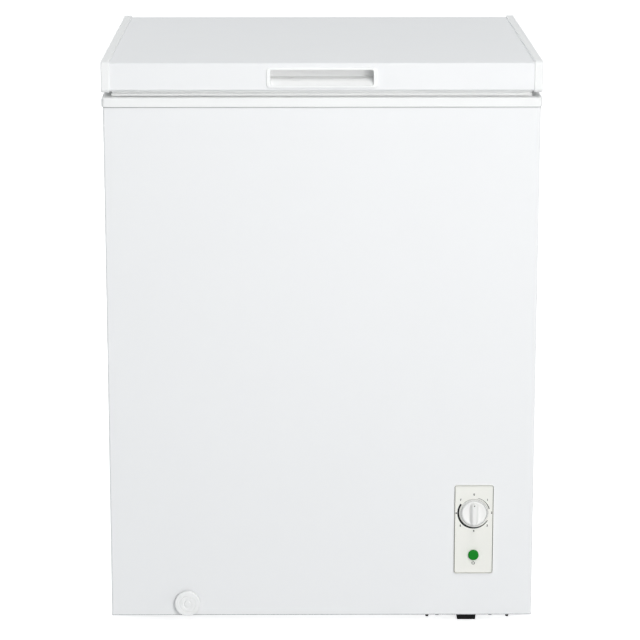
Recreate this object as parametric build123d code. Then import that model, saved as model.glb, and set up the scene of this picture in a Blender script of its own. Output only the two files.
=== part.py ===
from build123d import *
from math import cos, radians, sin
import os

# A small chest freezer of about 140 litres, in millimetres. X runs to the right, Y to the back and Z up.
# The origin is on the floor, under the middle of the whole freezer, knob and hinges included.

# ---- Driving dimensions ------------------------------------------------------------------------
width = 630  # across the lid's end caps and the rim
height = 850  # floor to the top of the end caps
lid_depth = 545
overall_depth = 572  # from the thermostat knob to the backs of the hinge housings
knob_reach = 12  # the knob stands this far in front of the lid

sheet = 0.6  # painted steel of the cabinet and lid
liner_sheet = 0.8  # embossed aluminium of the tub
floor_gap = 18  # cabinet's lower edge above the floor
cabinet_width = 626
cabinet_depth = 530
wall = 52  # foamed wall, outer sheet to liner
rim_top = 797
rim_bottom = 784
tub_floor = 75
tub_corner = 12
step_x = 75  # face of the step over the compressor bay
step_top = 302
bay_x = 125  # the bay's inner side
bay_top = 252

lid_top = 847.3  # steel top, a little below the end caps
lid_bottom = 806.7
cap_bottom = 804.2
cap_width = 12

panel_x = 225.3  # middle of the control panel, the knob and the lamp
panel_z = 151.8
knob_z = 177.5
lamp_z = 112.5
panel_width = 58
panel_height = 136.6
panel_border = 2.4  # raised bead round the panel's face
drain_x = -200
drain_z = 38.3
drain_well = 95  # the tub's drain hole, behind the lid's front
drain_bend = 16
drain_tube_radius = 9.5
socket_radius = 13.4
socket_depth = 47  # back of the socket, behind the lid's front

bolt_places = (172.5, 251.9)  # bolts that hold the compressor's tray to the cabinet's lower flange
plug_places = (157.7, 277.4)  # spare holes beside them, plugged
bolt_hole = 2.6
plug_hole = 2
foot_x = 217.8  # the moulded foot under the front right corner
mount_places = ((-50, -82), (50, -82), (-50, 82), (50, 82))  # rubber mounts round the compressor's middle

cross_wires = 13  # basket wires bent round its floor from side to side
long_wires = 7  # and from front to back

hinge_x = 200
pivot_back = 550  # hinge pivot, behind the lid's front
pivot_z = 780
lid_opening = 80  # degrees
cam_base = 5.5  # radius of the cam's base circle: the plunger rises by this for each radian
cam_start = 2.5  # roll angle of the cam at rest, in radians

# ---- Places worked out from them ---------------------------------------------------------------
half = width / 2
front = -overall_depth / 2 + knob_reach  # plane of the lid's end caps and the rim
cabinet_half = cabinet_width / 2
cabinet_front = front + 2
cabinet_back = cabinet_front + cabinet_depth
bolt_y = cabinet_front + 8
rim_depth = cabinet_depth + 4
tub_half = cabinet_half - wall
tub_front = cabinet_front + wall
tub_back = cabinet_back - wall
pivot_y = front + pivot_back

made = {}


def keep(name, shape):
    """Stores a finished piece under its node's name."""
    made[name] = shape
    return shape


def block(x0, x1, y0, y1, z0, z1):
    """A block between two corners."""
    return Pos((x0 + x1) / 2, (y0 + y1) / 2, (z0 + z1) / 2) * Box(x1 - x0, y1 - y0, z1 - z0)


def outline(*points):
    """A flat face inside straight edges."""
    return make_face(Polyline(*points, close=True))


def along_x(face, x0, x1):
    """A face drawn in Y and Z, stretched along X."""
    return Pos(x0, 0, 0) * extrude(Plane.YZ * face, amount=x1 - x0)


def along_y(face, y0, y1):
    """A face drawn in X and Z, stretched along Y."""
    return Pos(0, y1, 0) * extrude(Plane.XZ * face, amount=y1 - y0)


def along_z(face, z0, z1):
    """A face drawn in X and Y, stretched along Z."""
    return Pos(0, 0, z0) * extrude(face, amount=z1 - z0)


def folded(points, thickness, bend):
    """The section of a folded sheet. Its thickness lies to the left of the line through the points."""
    line = FilletPolyline(*points, radius=bend).wire()
    return Face(line.offset_2d(thickness, kind=Kind.ARC, side=Side.LEFT))


def rounded_slab(x_half, y0, y1, radius, z0, z1):
    """A slab with round corners in plan, centred on the freezer's middle plane."""
    plan = Pos(0, (y0 + y1) / 2) * RectangleRounded(2 * x_half, y1 - y0, radius)
    return along_z(plan, z0, z1)


def band(inset, thickness, radius, z0, z1):
    """A ring that follows the rim's plan: inset from its outer face, as thick as given, round at the corners."""
    outer = rounded_slab(half - inset, front + inset, front + rim_depth - inset, radius, z0, z1)
    inset += thickness
    inner = rounded_slab(
        half - inset, front + inset, front + rim_depth - inset, max(radius - thickness, 0.5), z0, z1
    )
    return outer - inner


def pipe(points, bend, radius, bore=0):
    """Tube along straight runs joined by arcs."""
    path = FilletPolyline(*points, radius=bend)
    section = Circle(radius) - Circle(bore) if bore else Circle(radius)
    return sweep(Plane(origin=path @ 0, z_dir=path % 0) * section, path=path)


def rod(x, y, z0, z1, radius):
    """An upright round bar."""
    return Pos(x, y, z0) * extrude(Circle(radius), amount=z1 - z0)


def rod_y(x, z, y0, y1, radius):
    """A round bar from front to back."""
    return Pos(x, y0, z) * Rot(-90, 0, 0) * extrude(Circle(radius), amount=y1 - y0)


def rod_x(y, z, x0, x1, radius):
    """A round bar across."""
    return Pos(x0, y, z) * Rot(0, 90, 0) * extrude(Circle(radius), amount=x1 - x0)


def screw_y(x, z, y, shank, head, length):
    """A pan-head screw driven forwards into the back, with its head behind the plane y."""
    thread = rod_y(x, z, y - length, y, shank)
    pan = rod_y(x, z, y, y + head * 0.55, head)
    pan = chamfer(pan.edges().group_by(Axis.Y)[-1], head * 0.25)
    return thread + pan


# ---- Outer sheets ------------------------------------------------------------------------------
def cabinet_wrapper():
    """Front and both sides in one folded sheet, with returns at the back and a flange underneath."""
    back = cabinet_back - sheet
    lip = 12
    plan = folded(
        [
            (-cabinet_half + lip, back),
            (-cabinet_half, back),
            (-cabinet_half, cabinet_front),
            (cabinet_half, cabinet_front),
            (cabinet_half, back),
            (cabinet_half - lip, back),
        ],
        sheet,
        2.5,
    )
    shell = along_z(plan, floor_gap, rim_top - 2)
    flange = 14
    side = cabinet_half - sheet / 2
    low, high = floor_gap, floor_gap + sheet
    shell += block(3 - side, side - 3, cabinet_front + 0.3, cabinet_front + flange, low, high)
    for s in (-1, 1):
        x = sorted((s * side, s * (side - flange)))
        shell += block(x[0], x[1], cabinet_front + 3, back - sheet, low, high)
    window = Pos(panel_x, panel_z) * Rectangle(panel_width - 6, panel_height - 8.6)
    shell -= along_y(window, front - 5, front + 8)
    shell -= rod_y(drain_x, drain_z, front - 5, front + 8, 13.5)
    for x in bolt_places:
        shell -= rod(x, bolt_y, low - 1, high + 1, bolt_hole)
    for x in plug_places:
        shell -= rod(x, bolt_y, low - 1, high + 1, plug_hole)
    return keep("cabinet_wrapper", shell)


def rear_panel():
    """Flat back sheet with pressed stiffening beads and an opening for the compressor bay."""
    y0, y1 = cabinet_back - sheet, cabinet_back
    back = block(-cabinet_half + 0.8, cabinet_half - 0.8, y0, y1, floor_gap + sheet, rim_bottom)
    back -= block(bay_x + 3, cabinet_half - 14, y0 - 1, y1 + 1, floor_gap - 1, bay_top - 4)
    for z in range(320, 641, 80):
        bead = outline((y1, z - 9), (y1 + 2, z - 5), (y1 + 2, z + 5), (y1, z + 9))
        back += along_x(bead, -278, 278)
    return keep("rear_panel", back)


def base_panel():
    """Sheet under the tub, with pressed ribs, from the left side to the bay."""
    y0, y1 = cabinet_front + 2.5, cabinet_back - 2 * sheet
    low = floor_gap + sheet
    base = block(-cabinet_half + 2.5, bay_x - 2, y0, y1, low, low + sheet)
    for y in (front + 190, front + 270, front + 350):
        rib = outline((y - 9, low), (y - 5, low - 2), (y + 5, low - 2), (y + 9, low))
        base += along_x(rib, -250, 80)
    return keep("base_panel", base)


def compressor_bay_panel():
    """One folded sheet: the bay's inner wall and its ceiling, which carry the step of the tub."""
    low = floor_gap + 2 * sheet
    right = cabinet_half - 2 * sheet
    section = folded(
        [(bay_x - 16, low), (bay_x, low), (bay_x, bay_top), (right, bay_top), (right, bay_top - 12)],
        sheet,
        4,
    )
    return keep("compressor_bay_panel", along_y(section, cabinet_front + 2.5, cabinet_back - 3.5))


# ---- Tub, foam and coils -----------------------------------------------------------------------
def tub_form(grow, top):
    """The stepped tub as a solid form, grown all round."""
    profile = outline(
        (-tub_half - grow, tub_floor - grow),
        (step_x + grow, tub_floor - grow),
        (step_x + grow, step_top - grow),
        (tub_half + grow, step_top - grow),
        (tub_half + grow, top),
        (-tub_half - grow, top),
    )
    form = along_y(profile, tub_front - grow, tub_back + grow)
    return fillet(form.edges().filter_by(Axis.Z), tub_corner + grow)


def inner_liner():
    """Stepped tub of thin embossed aluminium with a drain hole near the front."""
    liner = tub_form(liner_sheet, rim_top - 13) - tub_form(0, rim_top)
    liner -= rod(drain_x, front + drain_well, tub_floor - 2, tub_floor + 1, 12)
    return keep("inner_liner", liner)


def evaporator_coil():
    """Flat tube wound round the upper tub. Each turn climbs to the next in a slanted stretch at the back."""
    x, y0, y1 = tub_half + liner_sheet, tub_front - liner_sheet, tub_back + liner_sheet
    thick, high, pitch = 6, 9, 62
    levels = [360 + pitch * i for i in range(7)]
    coil = None
    for z in levels:
        turn = rounded_slab(x + thick, y0 - thick, y1 + thick, 18, z, z + high)
        turn -= rounded_slab(x, y0, y1, 12.8, z - 1, z + high + 1)
        turn -= block(-70, 70, y1 - 1, y1 + thick + 1, z - 1, z + high + 1)
        coil = turn if coil is None else coil + turn
    for z in levels[:-1]:
        climb = outline((-70, z), (70, z + pitch), (70, z + pitch + high), (-70, z + high))
        coil += along_y(climb, y1, y1 + thick)
    return keep("evaporator_coil", coil)


def condenser_coil():
    """Tube taped behind the front and side sheets, in level runs joined at the back, which warms them."""
    x, y0, y1 = cabinet_half - sheet, cabinet_front + sheet, cabinet_back - 30
    thick = 5
    levels = [330 + 90 * i for i in range(5)]
    coil = None
    for z in levels:
        run = rounded_slab(x, y0, y1 + 60, 30, z, z + thick)
        run -= rounded_slab(x - thick, y0 + thick, y1 + 70, 25, z - 1, z + thick + 1)
        run -= block(-x - 1, x + 1, y1, y1 + 80, z - 1, z + thick + 1)
        coil = run if coil is None else coil + run
    for i, z in enumerate(levels[:-1]):
        side = x - thick / 2 if i % 2 else -x + thick / 2
        coil += block(side - thick / 2, side + thick / 2, y1 - thick, y1, z, levels[i + 1] + thick)
    return keep("condenser_coil", coil)


def rim_frame():
    """Plastic collar over the top of the walls, with a ledge inside for the basket's hooks."""
    rim = band(0, 47, 5, rim_bottom, rim_top)
    outside = rim.faces().sort_by(Axis.Z)[-1].outer_wire().edges()
    rim = fillet(outside, 1.4)
    rim -= band(2, 43, 2.5, rim_bottom - 1, rim_top - 2)
    rim += band(45, 11, 16, rim_top - 12, rim_top - 10)
    rim += band(54, 2, 12, rim_top - 32, rim_top - 10)
    return keep("rim_frame", rim)


def drain_route(top):
    """The way of the drain tube: down from the tub's floor, then forwards to the socket."""
    y = front + drain_well
    return [(drain_x, y, top), (drain_x, y, drain_z), (drain_x, front + socket_depth, drain_z)]


def drain_tube():
    """Bent plastic tube through the foam, from the tub's floor to the socket in the front."""
    y = front + drain_well
    bore = 7.5
    tube = pipe(drain_route(tub_floor - liner_sheet), drain_bend, drain_tube_radius, bore)
    seat = rod(drain_x, y, tub_floor, tub_floor + 1.6, 19)
    seat = chamfer(seat.edges().group_by(Axis.Z)[-1], 1)
    seat += rod(drain_x, y, tub_floor - 6, tub_floor, 11.8)
    seat -= rod(drain_x, y, tub_floor - 7, tub_floor + 3, bore)
    return keep("drain_tube", tube + seat)


def drain_socket():
    """Sleeve in the cabinet's front that the drain spout slides in."""
    socket = rod_y(drain_x, drain_z, cabinet_front, front + socket_depth, socket_radius)
    socket += rod_y(drain_x, drain_z, cabinet_front - 1.2, cabinet_front, 16.5)
    socket -= rod_y(drain_x, drain_z, front - 5, front + 50, 11.3)
    return keep("drain_socket", socket)


def insulation_foam(embedded):
    """Polyurethane that fills the walls round everything foamed into them."""
    x, y0, y1 = cabinet_half - sheet, cabinet_front + sheet, cabinet_back - 2 * sheet
    z0, z1 = floor_gap + 2 * sheet, rim_top - 2
    foam = rounded_slab(x, y0, y1, 1.9, z0, z1) + block(-x + 12, x - 12, y1 - 3, y1 + sheet, z0, z1)
    foam -= tub_form(liner_sheet, rim_top)
    foam -= block(bay_x, cabinet_half, front, cabinet_back, 0, bay_top)
    foam -= rounded_slab(half - 45, front + 45, front + rim_depth - 45, 16, rim_top - 12, rim_top)
    foam -= rod_y(drain_x, drain_z, front, front + socket_depth, socket_radius)
    foam -= pipe(drain_route(tub_floor), drain_bend, drain_tube_radius)
    foam -= rod(drain_x, front + drain_well, tub_floor - 6, tub_floor, 11.8)
    for piece in embedded:
        foam -= piece
    return keep("insulation_foam", foam)


# ---- Compressor bay ----------------------------------------------------------------------------
unit_x, unit_y = 219, front + 396  # middle of the compressor
tray_top = floor_gap + sheet + 2
foot_plate = tray_top + 15


def compressor_tray():
    """Pressed steel tray that closes the bay's floor and carries the compressor."""
    x0, x1 = bay_x + 4, cabinet_half - 1.5
    section = folded(
        [(x0, tray_top + 10), (x0, floor_gap + sheet), (x1, floor_gap + sheet), (x1, tray_top + 10)],
        2,
        2.5,
    )
    tray = along_y(section, cabinet_front + 2, cabinet_back - 4)
    for x in bolt_places:
        tray -= rod(x, bolt_y, 0, tray_top + 1, bolt_hole)
    for x in plug_places:
        tray -= rod(x, bolt_y, 0, tray_top + 1, plug_hole)
    for y in (front + 90, front + 170, front + 250):
        tray -= Pos(unit_x, y, tray_top) * Box(90, 14, 10)
    for dx, dy in mount_places:
        tray -= rod(unit_x + dx, unit_y + dy, 0, tray_top + 1, 4)
    return keep("compressor_tray", tray)


def compressor_grommets():
    """Four rubber mounts with a waist that holds the compressor's foot plate."""
    mounts = []
    for dx, dy in mount_places:
        x, y = unit_x + dx, unit_y + dy
        mount = rod(x, y, tray_top, foot_plate, 11) + rod(x, y, foot_plate, foot_plate + 2.5, 7)
        mount += rod(x, y, foot_plate + 2.5, foot_plate + 7, 9.5)
        mounts.append(mount - rod(x, y, 0, 100, 4))
    return keep("compressor_grommets", Compound(mounts))


def compressor_bolts():
    """Four bolts up through the tray and the rubber mounts, each with a washer and a hexagon head."""
    bolts = []
    for dx, dy in mount_places:
        x, y = unit_x + dx, unit_y + dy
        bolt = rod(x, y, floor_gap + sheet - 1, foot_plate + 7, 4)
        bolt += rod(x, y, foot_plate + 7, foot_plate + 8.5, 8.5)
        bolt += Pos(x, y, foot_plate + 8.5) * extrude(RegularPolygon(6.5, 6), amount=5)
        bolts.append(bolt)
    return keep("compressor_bolts", Compound(bolts))


def compressor_can():
    """The outer form of the compressor's drawn steel can."""
    can = extrude(RectangleRounded(122, 150, 46), amount=146)
    can = fillet(can.edges().group_by(Axis.Z)[-1], 32)
    can = fillet(can.edges().group_by(Axis.Z)[0], 18)
    return Pos(unit_x, unit_y, foot_plate + 2.5) * can


def compressor_shell():
    """Hermetic can in two drawn halves with a weld seam, on a foot plate with four ears."""
    seam = Pos(unit_x, unit_y, foot_plate + 74) * extrude(RectangleRounded(128, 156, 49), amount=5)
    can = compressor_can() + seam
    plate = extrude(RectangleRounded(76, 190, 8) + RectangleRounded(126, 84, 8), amount=2.5)
    for dx, dy in mount_places:
        plate += Pos(dx, dy) * extrude(RectangleRounded(30, 30, 12), amount=2.5)
        plate -= Pos(dx, dy, -1) * extrude(Circle(7), amount=5)
    can += Pos(unit_x, unit_y, foot_plate) * plate
    cavity = extrude(RectangleRounded(112, 140, 42), amount=138)
    cavity = chamfer(cavity.edges().group_by(Axis.Z)[-1], 20)
    cavity = chamfer(cavity.edges().group_by(Axis.Z)[0], 12)
    can -= Pos(unit_x, unit_y, foot_plate + 5.5) * cavity
    return keep("compressor_shell", can)


def compressor_pump():
    """Motor and pump inside the can: windings, laminations, crankcase and head, on stub springs."""
    low = foot_plate + 2.5 + 3
    pump = rod(0, 0, low + 14, low + 30, 38)
    pump += Pos(0, 0, low + 30) * extrude(RectangleRounded(84, 84, 10), amount=34)
    pump += rod(0, 0, low + 64, low + 76, 36)
    pump += Pos(0, 0, low + 76) * extrude(RectangleRounded(66, 74, 8), amount=22)
    pump += Pos(0, -30, low + 76) * extrude(RectangleRounded(44, 40, 5), amount=38)
    pump += rod(0, 0, low + 98, low + 112, 11)
    for dx, dy in ((-24, -24), (24, -24), (-24, 24), (24, 24)):
        pump += rod(dx, dy, low, low + 16, 6)
    return keep("compressor_pump", Pos(unit_x, unit_y, 0) * pump)


def compressor_terminal_cover():
    """Box over the starter and overload switch on the can's front side."""
    y = unit_y - 75
    cover = block(unit_x - 30, unit_x + 30, y - 32, y + 6, foot_plate + 20, foot_plate + 72)
    cover = fillet(cover.faces().sort_by(Axis.Y)[0].edges(), 4)
    return keep("compressor_terminal_cover", cover - compressor_can())


def sealed_circuit():
    """Copper pipes of the sealed circuit, between the can, the drier and the foam."""
    top = foot_plate + 120
    right = unit_x + 61
    suction = pipe(
        [
            (right - 8, unit_y + 38, foot_plate + 96),
            (right + 18, unit_y + 38, foot_plate + 96),
            (right + 18, unit_y + 38, top + 58),
            (right + 18, unit_y + 82, top + 58),
            (right + 18, unit_y + 82, bay_top),
        ],
        12,
        4,
    )
    discharge = pipe(
        [
            (right - 8, unit_y - 30, foot_plate + 60),
            (right + 20, unit_y - 30, foot_plate + 60),
            (right + 20, unit_y - 130, foot_plate + 60),
            (right + 20, unit_y - 130, bay_top),
        ],
        14,
        2.5,
    )
    process = pipe(
        [
            (unit_x - 40, unit_y + 60, foot_plate + 60),
            (unit_x - 40, unit_y + 104, foot_plate + 60),
            (unit_x - 40, unit_y + 104, foot_plate + 118),
        ],
        12,
        3,
    )
    x, y0, y1, z = bay_x + 24, unit_y - 150, unit_y - 30, bay_top - 40
    profile = Polyline(
        (0, 0), (3, 0), (3, 8), (9.5, 18), (9.5, 100), (1.6, 112), (1.6, 120), (0, 120), close=True
    )
    drier = Pos(x, y0, z) * Rot(-90, 0, 0) * revolve(Plane.XZ * make_face(profile), Axis.Z)
    capillary = pipe(
        [(x, y1 - 2, z), (x, y1 + 30, z), (x + 30, y1 + 30, z), (x + 30, y1 + 30, bay_top)], 9, 1
    )
    feed = pipe([(x, y0 + 2, z), (x, y0 - 26, z), (x, y0 - 26, bay_top)], 12, 2.5)
    can = compressor_can()
    keep("suction_pipe", suction - can)
    keep("discharge_pipe", discharge - can)
    keep("process_pipe", process - can)
    keep("filter_drier", drier + feed)
    keep("capillary_tube", capillary - drier)


def rear_vent_cover():
    """Pressed cover over the bay's back opening: a flange, a raised hood and two columns of slots."""
    x0, x1 = bay_x - 2, cabinet_half - 8
    z0, z1 = floor_gap + sheet, bay_top + 4
    y, edge = cabinet_back, 13
    hood = block(x0 + edge, x1 - edge, y, y + 9, z0 + edge, z1 - edge)
    hood = chamfer(hood.faces().sort_by(Axis.Y)[-1].edges(), 5)
    hollow = block(x0 + edge + 1.5, x1 - edge - 1.5, y - 1, y + 7.5, z0 + edge + 1.5, z1 - edge - 1.5)
    hollow = chamfer(hollow.faces().sort_by(Axis.Y)[-1].edges(), 5)
    cover = block(x0, x1, y, y + 1.5, z0, z1) + hood - hollow
    middle = (x0 + x1) / 2
    for column in (-1, 1):
        for i in range(9):
            slot = Pos(middle + column * 35, y + 8, z0 + 56 + i * 18) * Rot(90, 0, 0)
            cover -= slot * extrude(SlotOverall(56, 7), amount=6, both=True)
    cover -= rod_y(x0 + 34, z0 + 32, y - 5, y + 20, 9)
    return keep("rear_vent_cover", cover)


def cord_gland():
    """Rubber bush in the vent cover where the supply lead would pass."""
    x, z, y = bay_x + 32, floor_gap + sheet + 32, cabinet_back + 9
    bush = rod_y(x, z, y - 1.5, y, 9) + rod_y(x, z, y, y + 4, 12.5) + rod_y(x, z, y - 5, y - 1.5, 11.5)
    bush = chamfer(bush.edges().group_by(Axis.Y)[-1], 1.5)
    return keep("cord_gland", bush - rod_y(x, z, y - 10, y + 10, 4))


def vent_cover_screws():
    """Six screws through the flange of the vent cover."""
    screws = []
    for x in (bay_x + 4.5, cabinet_half - 14.5):
        for z in (floor_gap + 34, 137, bay_top - 12):
            head = Pos(x, cabinet_back + 1.5, z) * Rot(-90, 0, 0)
            screws.append(head * extrude(RegularPolygon(4, 8), amount=2.4))
    return keep("vent_cover_screws", Compound(screws))


def wiring_loom():
    """Sleeved leads from the terminal cover up the bay's wall to the thermostat."""
    y = unit_y - 107
    loom = pipe(
        [
            (unit_x - 12, y, foot_plate + 40),
            (unit_x - 12, y - 40, foot_plate + 40),
            (unit_x - 50, y - 90, 120),
            (unit_x - 20, cabinet_front + 60, 150),
            (panel_x, cabinet_front + 43, knob_z - 24),
        ],
        16,
        3.5,
    )
    return keep("wiring_loom", loom)


# ---- Underneath --------------------------------------------------------------------------------
def feet():
    """Three fixed feet, set back from the edges."""
    profile = Polyline((0, 0), (14, 0), (16, 2), (18, floor_gap + sheet), (0, floor_gap + sheet), close=True)
    foot = revolve(Plane.XZ * make_face(profile), Axis.Z)
    places = [(-262, front + 88), (-262, cabinet_back - 60), (264, cabinet_back - 21)]
    return keep("feet", Compound([Pos(x, y, 0) * foot for x, y in places]))


def front_foot():
    """Moulded block under the bay's front edge, a little wider at the top."""
    top = floor_gap + sheet
    side = outline((-13.8, 0), (13.8, 0), (15, top), (-15, top))
    foot = Pos(foot_x, 0, 0) * along_y(side, front + 31, front + 71)
    foot = fillet(foot.edges().filter_by(Axis.Y).group_by(Axis.Z)[0], 1.5)
    foot -= block(foot_x - 11, foot_x + 11, front + 40, front + 62, -1, 10)
    return keep("front_foot", foot)


def base_bolts():
    """Two round-head bolts that hold the tray to the cabinet's lower flange."""
    dome = Polyline((0, 0), (4.3, 0), (4.3, -0.9), (3.6, -2.4), (2.0, -3.5), (0, -3.9), close=True)
    head = revolve(Plane.XZ * make_face(dome), Axis.Z)
    bolts = []
    for x in bolt_places:
        shank = rod(x, bolt_y, floor_gap, tray_top + 4, bolt_hole)
        bolts.append(shank + Pos(x, bolt_y, floor_gap) * head)
    return keep("base_bolts", Compound(bolts))


def tray_plugs():
    """Two tapered rubber plugs in the tray's spare holes."""
    profile = Polyline((0, -5), (2.2, -5), (3, 0), (2, 0), (2, 3.6), (0, 3.6), close=True)
    plug = revolve(Plane.XZ * make_face(profile), Axis.Z)
    return keep("tray_plugs", Compound([Pos(x, bolt_y, floor_gap) * plug for x in plug_places]))


# ---- Controls ----------------------------------------------------------------------------------
plate_front = cabinet_front - 2.5  # top of the raised bead
face_front = plate_front + 0.9  # the sunk face inside it
knob_gap = 0.4
knob_rise = plate_front - knob_gap - (front - knob_reach)


def control_panel():
    """Moulded plate with a sunk face inside a raised bead, a tray behind it, and holes for shaft and lamp."""
    middle = Pos(panel_x, panel_z)
    panel = along_y(middle * RectangleRounded(panel_width, panel_height, 3.5), plate_front, cabinet_front)
    panel = fillet(panel.faces().sort_by(Axis.Y)[0].edges(), 0.7)
    inside = RectangleRounded(panel_width - 2 * panel_border, panel_height - 2 * panel_border, 1.6)
    panel -= along_y(middle * inside, plate_front - 1, face_front)
    panel += along_y(middle * Rectangle(panel_width - 6.8, panel_height - 9.4), cabinet_front, front + 16)
    panel -= along_y(middle * Rectangle(panel_width - 10.8, panel_height - 13.4), cabinet_front, front + 20)
    panel -= rod_y(panel_x, knob_z, front - 9, front + 9, 5)
    panel -= rod_y(panel_x, lamp_z, front - 9, front + 9, 7)
    return keep("control_panel", panel)


def thermostat_body():
    """Thermostat case with its bush and the terminals at the back."""
    case = block(panel_x - 19, panel_x + 19, front + 6, front + 38, knob_z - 22, knob_z + 22)
    case = chamfer(case.edges().filter_by(Axis.Y), 4)
    case += rod_y(panel_x, knob_z, cabinet_front, front + 6, 7)
    for dx in (-10, 0, 10):
        case += block(panel_x + dx - 3, panel_x + dx + 3, front + 38, front + 46, knob_z - 14, knob_z - 12.8)
    case -= rod_y(panel_x, knob_z, front, front + 26, 3.06)
    return keep("thermostat_body", case)


def thermostat_sensor():
    """Thin sensing tube from the thermostat case into the wall of the tub."""
    x, y = panel_x + 12, front + 30
    turn_z = bay_top - 14
    route = [(x, y, knob_z + 22), (x, y, turn_z), (x, y + 60, turn_z), (x, y + 60, bay_top)]
    return keep("thermostat_sensor", pipe(route, 7, 1))


def thermostat_shaft():
    """Shaft that joins the knob to the thermostat, with a flat for the knob."""
    shaft = rod_y(panel_x, knob_z, plate_front - 8, front + 24, 3)
    flat = block(panel_x - 4, panel_x + 4, plate_front - 9, plate_front - 0.5, knob_z + 2, knob_z + 4)
    return keep("thermostat_shaft", shaft - flat)


def thermostat_knob():
    """Knob with a thin skirt, a body with a round shoulder, a dished face and one grip across it."""
    profile = Polyline(
        (0, 0),
        (20.5, 0),
        (20.5, 1.1),
        (20.2, 1.6),
        (19.1, 1.85),
        (18.5, 2.3),
        (18.1, 4.0),
        (17.7, 4.8),
        (16.9, 5.3),
        (15.8, 5.5),
        (14.8, 5.2),
        (13.5, 4.7),
        (10.2, 4.2),
        (0, 4.0),
        close=True,
    )
    knob = revolve(Plane.XZ * make_face(profile), Axis.Z)
    grip = extrude(RectangleRounded(10.2, 35.2, 4.2), amount=knob_rise)
    knob += fillet(grip.faces().sort_by(Axis.Z)[-1].edges(), 1.4)
    knob -= Pos(0, 14, knob_rise - 0.4) * extrude(Circle(0.9), amount=1)
    knob -= Pos(0, 0, -1) * extrude(Circle(17) - Circle(6.5), amount=3.4)
    knob = Pos(panel_x, plate_front - knob_gap, knob_z) * Rot(90, 0, 0) * knob
    return keep("thermostat_knob", knob - made["thermostat_shaft"])


def power_lamp():
    """Green lens in the panel and the holder that snaps in behind it."""
    lens = rod_y(panel_x, lamp_z, face_front - 4, face_front, 7.8)
    lens = fillet(lens.edges().group_by(Axis.Y)[0], 1.6)
    lens += rod_y(panel_x, lamp_z, face_front, cabinet_front + 3, 6.8)
    keep("power_lamp", lens)
    holder = rod_y(panel_x, lamp_z, cabinet_front, cabinet_front + 14, 9) - rod_y(
        panel_x, lamp_z, cabinet_front - 1, cabinet_front + 3, 6.8
    )
    holder += block(panel_x - 5, panel_x + 5, cabinet_front + 14, cabinet_front + 20, lamp_z - 1, lamp_z + 1)
    return keep("lamp_holder", holder)


# ---- Drain -------------------------------------------------------------------------------------
def drain_spout():
    """Spout that pulls out of its socket: closed in front, with an outlet underneath and a stub for the dial."""
    y0 = cabinet_front - 2
    spout = rod_y(drain_x, drain_z, y0, front + 42, 11)
    spout -= rod_y(drain_x, drain_z, y0 + 3, front + 45, 9)
    spout -= block(drain_x - 5, drain_x + 5, y0 + 4, y0 + 15, drain_z - 12, drain_z - 6)
    spout += rod_y(drain_x, drain_z, y0 - 5, y0, 3)
    return keep("drain_spout", spout)


def drain_dial():
    """Round dial with concentric steps and a ribbed hollow behind, which turns on the spout's stub."""
    profile = Polyline(
        (3.04, 0),
        (18.9, 0),
        (18.9, 5.2),
        (17.9, 6.2),
        (12.6, 6.2),
        (11.8, 5.2),
        (11.0, 6.2),
        (6.9, 6.2),
        (6.2, 5.2),
        (5.0, 5.2),
        (3.9, 7.4),
        (0, 7.4),
        (0, 5.2),
        (3.04, 5.2),
        close=True,
    )
    dial = revolve(Plane.XZ * make_face(profile), Axis.Z)
    ribs = Rectangle(40, 1.2) + Rectangle(1.2, 40)
    dial -= Pos(0, 0, -1) * extrude(Circle(17.2) - Circle(5) - ribs, amount=4.6)
    return keep("drain_dial", Pos(drain_x, cabinet_front - 2.3, drain_z) * Rot(90, 0, 0) * dial)


def drain_plug():
    """Rubber plug in the tub's drain hole, with a grip to lift it by."""
    profile = Polyline((0, -11), (6.6, -11), (7.2, 1.9), (15, 1.9), (15, 4), (13, 5.4), (0, 5.4), close=True)
    plug = revolve(Plane.XZ * make_face(profile), Axis.Z)
    tab = Pos(0, 0, 4) * Box(16, 3, 12, align=(Align.CENTER, Align.CENTER, Align.MIN))
    tab = fillet(tab.edges().filter_by(Axis.Y).group_by(Axis.Z)[-1], 5)
    return keep("drain_plug", Pos(drain_x, front + drain_well, tub_floor) * (plug + tab))


# ---- Lid ---------------------------------------------------------------------------------------
field_half, field_front, field_back = tub_half - 18, tub_front + 14, tub_back - 14  # the liner's raised field
field_low = rim_top - 2
handle_z0, handle_z1 = 814.3, 837.3  # the pull's mouth
pull_half = 74
pull_floor = 822.8  # back of the cup's slope
pull_top = lid_top - sheet - 2.4


def lid_panel():
    """Top, front and back of the lid in one folded sheet, with hems and a cut-out for the pull."""
    y0, y1 = front + 1.5, front + lid_depth - 1.5
    hem = 11
    section = folded(
        [
            (y1 - hem, lid_bottom),
            (y1, lid_bottom),
            (y1, lid_top),
            (y0, lid_top),
            (y0, lid_bottom),
            (y0 + hem, lid_bottom),
        ],
        sheet,
        3.2,
    )
    lid = along_x(section, -half + 3, half - 3)
    lid -= block(-pull_half - 2, pull_half + 2, y0 - 1, y0 + 2, handle_z0 - 1.5, handle_z1 + 1.5)
    return keep("lid_panel", lid)


def lid_end_cap(side):
    """Moulded cap that grips one end of the lid panel, with its own lip over the top, front and underside."""
    y0, y1 = front, front + lid_depth
    face = Pos((y0 + y1) / 2, (cap_bottom + height) / 2) * RectangleRounded(lid_depth, height - cap_bottom, 6)
    cap = along_x(face, half - cap_width, half)
    cap = fillet(cap.faces().sort_by(Axis.X)[-1].edges(), 1.8)
    cap = fillet(cap.faces().sort_by(Axis.X)[0].outer_wire().edges(), 1)
    pocket = Pos((y0 + y1) / 2, (lid_bottom + lid_top) / 2) * RectangleRounded(
        lid_depth - 3, lid_top - lid_bottom, 3.2
    )
    cap -= along_x(pocket, half - cap_width - 1, half - 3)
    if side < 0:
        cap = mirror(cap, Plane.YZ)
    return cap


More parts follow.
